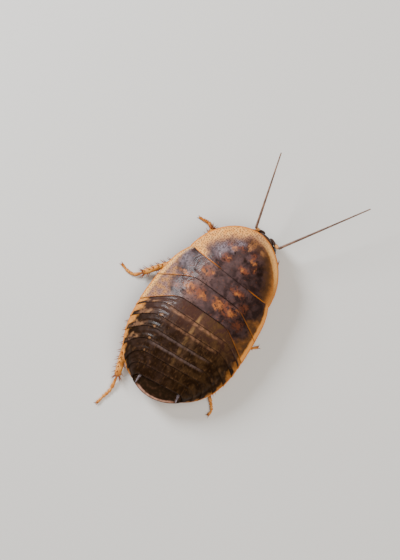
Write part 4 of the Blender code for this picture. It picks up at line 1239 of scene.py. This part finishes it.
def makePalp(name, sign, node):
    *_, side, forward = headFrame()
    ahead = Vector((forward.x, forward.y, 0)).normalized()
    root = headPoint(0.87, (0.0 if sign == right else math.pi) - sign * 0.1, -0.1)
    corners = [root]
    for a, b, c in palp["route"]:
        corners.append(root + side * (sign * (a + 0.35) * mm) + ahead * (b * mm) + Vector((0, 0, c * mm)))

    def size(share):
        return palp["radius"] * beaded(share, 4), palp["radius"] * 0.9 * beaded(share, 4)

    piece = addPiece(name, limb(evenly(smoothPath(corners, 8), 50), size, 3.0, 14), "limb", [node])
    addBristles(name + "Hairs", piece.data, palp["hairs"])


cercus = {
    "root": (3.25, 0.1, 0.86), "aim": (3.5, -2.0, 0.7), "length": 1.6, "bow": 0.0, "steps": 12, "rings": 8,
    "rootRadius": 0.27, "tipRadius": 0.05, "swelling": 0.14, "hairs": (26.0, 0.3, 0.009, 0.6),
}


def makeCercus(name, sign, node):
    rear = abdomen["rears"][-1][0]
    root, aim = (
        place(sign * out, rear + ahead, marginHeight(rear) + rise)
        for out, ahead, rise in (cercus["root"], cercus["aim"])
    )
    tip = root + (aim - root).normalized() * (cercus["length"] * mm)
    makeStalk(name, name + "Hairs", root, tip, cercus, "cercus", [node])


# Hip and trochanter (across, along), heights of all joints after the hip, then knee, ankle and foot of each side,
# half width and half thickness of the segments, and the spines on the tibia's outer, inner, upper and lower edge
legs = {
    "front": {
        "hip": (1.6, 10.3), "trochanter": (2.7, 7.0), "heights": (1.45, 2.3, 0.66, 0.3, 0.2, 0.22),
        "Left": ((6.0, 7.6), (6.75, 10.1), (7.6, 10.35), (8.6, 10.2), (9.2, 10.1)),
        "Right": ((5.9, 7.5), (5.5, 10.0), (5.2, 10.9), (4.7, 11.9), (4.35, 12.6)),
        "coxa": (1.05, 0.5), "femur": (0.58, 0.44), "tibia": (0.3, 0.28), "spines": (7, 4, 4, 3),
    },
    "middle": {
        "hip": (1.65, 6.1), "trochanter": (2.9, 2.4), "heights": (1.4, 2.3, 0.7, 0.28, 0.2, 0.22),
        "Left": ((7.8, 3.35), (11.0, -0.8), (11.9, -1.65), (13.1, -1.75), (14.3, -1.45)),
        "Right": ((7.0, 4.2), (7.5, -0.7), (8.0, -1.3), (9.0, -1.1), (9.95, -0.2)),
        "coxa": (1.15, 0.52), "femur": (0.68, 0.46), "tibia": (0.4, 0.34), "spines": (10, 7, 7, 5),
    },
    "hind": {
        "hip": (1.75, 1.55), "trochanter": (3.4, -2.3), "heights": (1.1, 1.72, 0.72, 0.26, 0.2, 0.22),
        "Left": ((8.75, -6.1), (6.3, -15.3), (6.35, -17.3), (6.95, -18.8), (7.4, -19.9)),
        "Right": ((8.0, -3.9), (7.2, -11.1), (8.15, -12.1), (8.85, -13.3), (8.75, -14.2)),
        "coxa": (1.25, 0.54), "femur": (0.78, 0.44), "tibia": (0.5, 0.38), "spines": (15, 12, 12, 7),
    },
}
# A segment's place in the limb, which its colour follows, steps along and sides round, and how its width and its
# thickness run: start, middle and end
legShapes = {
    "coxa": (0, 30, 24, (0.6, 1.05, 0.42), (0.85, 1.1, 0.65)),
    "trochanter": (1, 14, 20, (0.9, 1.0, 0.9), (0.9, 1.0, 0.9)),
    "femur": (2, 34, 24, (0.62, 1.04, 0.6), (0.75, 1.02, 0.72)),
    "tibia": (3, 34, 20, (0.8, 1.05, 1.0), (0.85, 1.0, 0.9)),
    "clawRoot": (4, 8, 10, (0.9, 1.1, 1.0), (0.9, 1.0, 0.8)),
    "pad": (3, 8, 10, (1, 1, 1), (1, 1, 1)),
}
legHairs = (5.0, 0.2, 0.008, 0.9)
foot = {
    "radius": 0.27, "joints": (0.0, 0.4, 0.53, 0.64, 0.74, 1.0), "steps": 72, "padDrop": 0.08, "padReach": 0.11,
    "padSize": (0.14, 0.12), "clawRoot": (0.12, 0.16), "clawRootSize": (0.13, 0.09), "clawApart": 0.07,
    "clawSpread": 0.55, "clawLevel": 0.16,
}
# Edges: where the rows stand and lean, outwards and upwards; the rest in shares of the segment's length and width
thornRows = {
    "edges": ((1, 0.1), (-1, 0.1), (0.35, 1.0), (-0.4, -0.8)), "from": 0.1, "stretch": 0.8, "out": 0.75,
    "spurs": 7, "thigh": 5, "thighFrom": 0.4, "thighStep": 0.12,
}
# Length, radius, hook, and the spines and claws themselves: points, leans and sizes
spikes = {"legSpines": (0.9, 0.095, 0.12, [], [], []), "claws": (0.52, 0.075, 0.3, [], [], [])}


def addSpike(kind, root, lean, size):
    for values, value in zip(spikes[kind][3:], (root, lean.normalized(), (1.0, 1.0, size))):
        values.append(value)


def humped(start, middle, end, share):  # a size that rises from start to middle and falls to end
    return start + (end - start) * share + (middle - (start + end) / 2) * math.sin(math.pi * share)


def segment(a, b, size, shapeName, carve=None):
    kind, count, sides, *runs = legShapes[shapeName]
    path = [a.lerp(b, i / count) for i in range(count + 1)]
    cap = 0.45 * size[1] * mm / (b - a).length

    def sized(share):
        end = capped(share, cap * 2)
        return [half * humped(*run, share) * end for half, run in zip(size, runs)]

    return limb(path, sized, kind, sides, carve)


def keel(share, angle):  # a thigh's sharp lower edge with a groove for the shin
    return -0.1 * ridge(math.sin(angle) + 1, 0.12) * ease((share - 0.4) / 0.3) + 0.015 * math.sin(9 * share)


def facets(share, angle):  # four blunt edges along a shin
    return 0.03 * math.cos(4 * angle)


def toe(share):  # half width and half height of the foot
    stops = foot["joints"]
    number = max(i for i in range(5) if share >= stops[i])
    within = (share - stops[number]) / (stops[number + 1] - stops[number])
    flare = 0.56 + 0.4 * ease(within) if number < 4 else 0.5 + 0.22 * ease(within * 1.2)
    waist = 0.4 + 0.3 * rounded(within, 0.1) + 0.3 * rounded(1 - within, 0.1)
    width = foot["radius"] * flare * waist * 1.15
    return width, width * 0.95


def makeLeg(pair, sideName, sign):
    leg = legs[pair]
    femur = leg["femur"]
    hip = place(sign * leg["hip"][0], leg["hip"][1], core["bottom"] - 0.1 - leg["coxa"][1])
    joints = zip((leg["trochanter"], *leg[sideName]), leg["heights"])
    trochanter, knee, ankle, *toes = (place(sign * across, along, height) for (across, along), height in joints)
    path = evenly(smoothPath([ankle.lerp(knee, 0.02), *toes], 12), foot["steps"])
    ahead = (path[-1] - path[-6]).normalized()
    aside = ahead.cross(upright).normalized()
    joint = femur[0] * 0.72, femur[1] * 0.86
    parts = [
        segment(hip, trochanter, leg["coxa"], "coxa"),
        segment(trochanter.lerp(hip, 0.1), trochanter.lerp(knee, 0.13), joint, "trochanter"),
        segment(trochanter.lerp(knee, 0.04), knee, femur, "femur", keel),
        segment(knee.lerp(trochanter, 0.015), ankle, leg["tibia"], "tibia", facets),
        limb(path, toe, 4, 14),
    ]
    behind, before = (ahead * (reach * mm) for reach in foot["clawRoot"])
    parts.append(segment(path[-1] - behind, path[-1] + before, foot["clawRootSize"], "clawRoot"))
    for stop in foot["joints"][1:5]:  # pale pads under the foot's joints
        centre = path[round(stop * foot["steps"]) - 2].copy()
        centre.z = max(0.0, centre.z - foot["padDrop"] * mm)
        half = ahead * (foot["padReach"] * mm)
        parts.append(segment(centre - half, centre + half, foot["padSize"], "pad"))
    nodes = [f"{part}_{pair}_{sideName.lower()}" for part in ("coxa", "femur", "tibia", "tarsus")]
    title = pair.title() + sideName
    piece = addPiece("leg" + title, gather(parts), "limb", nodes)
    addBristles("hairs" + title, piece.data, legHairs)
    placeSpines(leg, sign, trochanter, knee, ankle)
    for turn in (-1, 1):
        root = path[-1] + aside * (turn * foot["clawApart"] * mm) - ahead * (0.04 * mm)
        root.z = max(root.z, foot["clawLevel"] * mm)
        addSpike("claws", root, ahead + aside * turn * foot["clawSpread"] - Vector((0, 0, 0.12)), 1.0)


def placeSpines(leg, sign, trochanter, knee, ankle):
    ahead = (ankle - knee).normalized()
    aside = ahead.cross(upright).normalized()
    if aside.dot(place(sign * 20, 0, 0) - knee) < 0:
        aside = -aside
    up = aside.cross(ahead)
    up = up if up.z > 0 else -up
    width, height = leg["tibia"]
    out = thornRows["out"]
    for (edge, rise), count in zip(thornRows["edges"], leg["spines"]):
        for i in range(count):
            share = thornRows["from"] + thornRows["stretch"] * (i + 0.35 * math.sin(3.1 * i + edge)) / (count - 1)
            lean = aside * edge + ahead * 0.72 + up * (rise + 0.22 * math.sin(2.3 * i))
            root = knee.lerp(ankle, share) + aside * (edge * width * out * mm) + up * (rise * height * 0.7 * mm)
            addSpike("legSpines", root, lean, 0.85 + 0.2 * math.sin(2.4 * i + 1))
    for k in range(thornRows["spurs"]):  # a crown round the end
        turn = math.pi * (k / (thornRows["spurs"] - 1) * 1.5 - 0.25)
        rim = aside * math.cos(turn) * width + up * math.sin(turn) * height
        root = ankle - ahead * (0.14 * mm) + rim * (0.8 * mm)
        addSpike("legSpines", root, ahead * 1.1 + rim * (1.0 / width), 0.95 + 0.15 * math.sin(5 * k))
    reach = (knee - trochanter).normalized()
    for i in range(thornRows["thigh"]):  # on the thigh's lower edge
        share = thornRows["thighFrom"] + thornRows["thighStep"] * i
        root = trochanter.lerp(knee, share) - up * (leg["femur"][1] * 0.85 * mm)
        addSpike("legSpines", root, -up + reach * 0.5, 0.55)


makeHead()
for sideName, sign in flanks:
    for make, title, node in (
        (makeEye, "eye", "eye"), (makeFeeler, "feeler", "antenna"), (makePalp, "palp", "palp"),
        (makeCercus, "cercus", "cercus"),
    ):
        make(title + sideName, sign, f"{node}_{sideName.lower()}")
print("head, feelers and cerci made")
for pair in legs:
    for sideName, sign in flanks:
        makeLeg(pair, sideName, sign)
for name, (length, radius, hook, points, leans, sizes) in spikes.items():
    seed = seedMesh(name + "Roots", points, lean=leans, size=sizes)
    grow(name, seed, "spine", {"Length": length * mm, "Radius": radius * mm, "Hook": hook}, "spine")
print("legs made")

view = {"centre": (1.948, -0.66), "turn": 34.0, "height": 84.56, "lens": 200.0, "level": 5.0}


def makeCamera():
    turn = math.radians(view["turn"])
    across = Vector((-math.cos(turn), -math.sin(turn), 0))
    up = Vector((math.sin(turn), -math.cos(turn), 0))
    data = bpy.data.cameras.new("camera")
    data.lens = view["lens"]
    data.clip_start, data.clip_end = 0.01, 10.0
    camera = addObject("camera", data)
    distance = view["height"] / 2 * view["lens"] / (data.sensor_width / 2)
    at = Vector((*view["centre"], view["level"] + distance)) * mm
    camera.matrix_world = Matrix.Translation(at) @ Matrix((across, up, across.cross(up))).transposed().to_4x4()
    bpy.context.scene.camera = camera


studio = {  # a light: place, size, power, colour and whether it is seen mirrored in the chitin
    "lights": {
        "key": ((0.22, -0.05, 0.15), 0.1, 1.15, (0.9, 0.95, 1.0), True),
        "fill": ((-0.13, -0.03, 0.33), 0.4, 1.5, (1.0, 0.95, 0.88), False),
    },
    "room": (0.94, 0.96, 1.0), "roomStrength": 0.15, "floor": (0.74, 0.71, 0.67),
}


def makeLight(name, at, size, power, tone, mirrored):
    data = bpy.data.lights.new(name + "Light", "AREA")
    data.shape, data.size, data.energy, data.color = "DISK", size, power, tone
    light = addObject(name + "Light", data)
    light.location = at
    light.visible_glossy = mirrored
    light.rotation_euler = Vector(at).to_track_quat("Z", "Y").to_euler()


def makeStudio():
    for name, values in studio["lights"].items():
        makeLight(name, *values)
    world = bpy.data.worlds.new("room")
    world.use_nodes = True
    room = world.node_tree.nodes["Background"]
    room.inputs["Color"].default_value = (*studio["room"], 1)
    room.inputs["Strength"].default_value = studio["roomStrength"]
    bpy.context.scene.world = world
    mesh = bpy.data.meshes.new("floor")
    mesh.from_pydata([(x, y, 0) for x, y in ((-1, -1), (1, -1), (1, 1), (-1, 1))], [], [(0, 1, 2, 3)])
    nodes = newMaterial("floorPaper")
    tone = nodes.noise(nodes.millimetres(), 0.02, 2.0)
    shade = tuple(0.97 * c for c in studio["floor"])
    mesh.materials.append(finish(nodes, nodes.mix(tone, studio["floor"], shade), 0.7))
    addObject("floor", mesh)


makeCamera()
makeStudio()
print("scene ready")
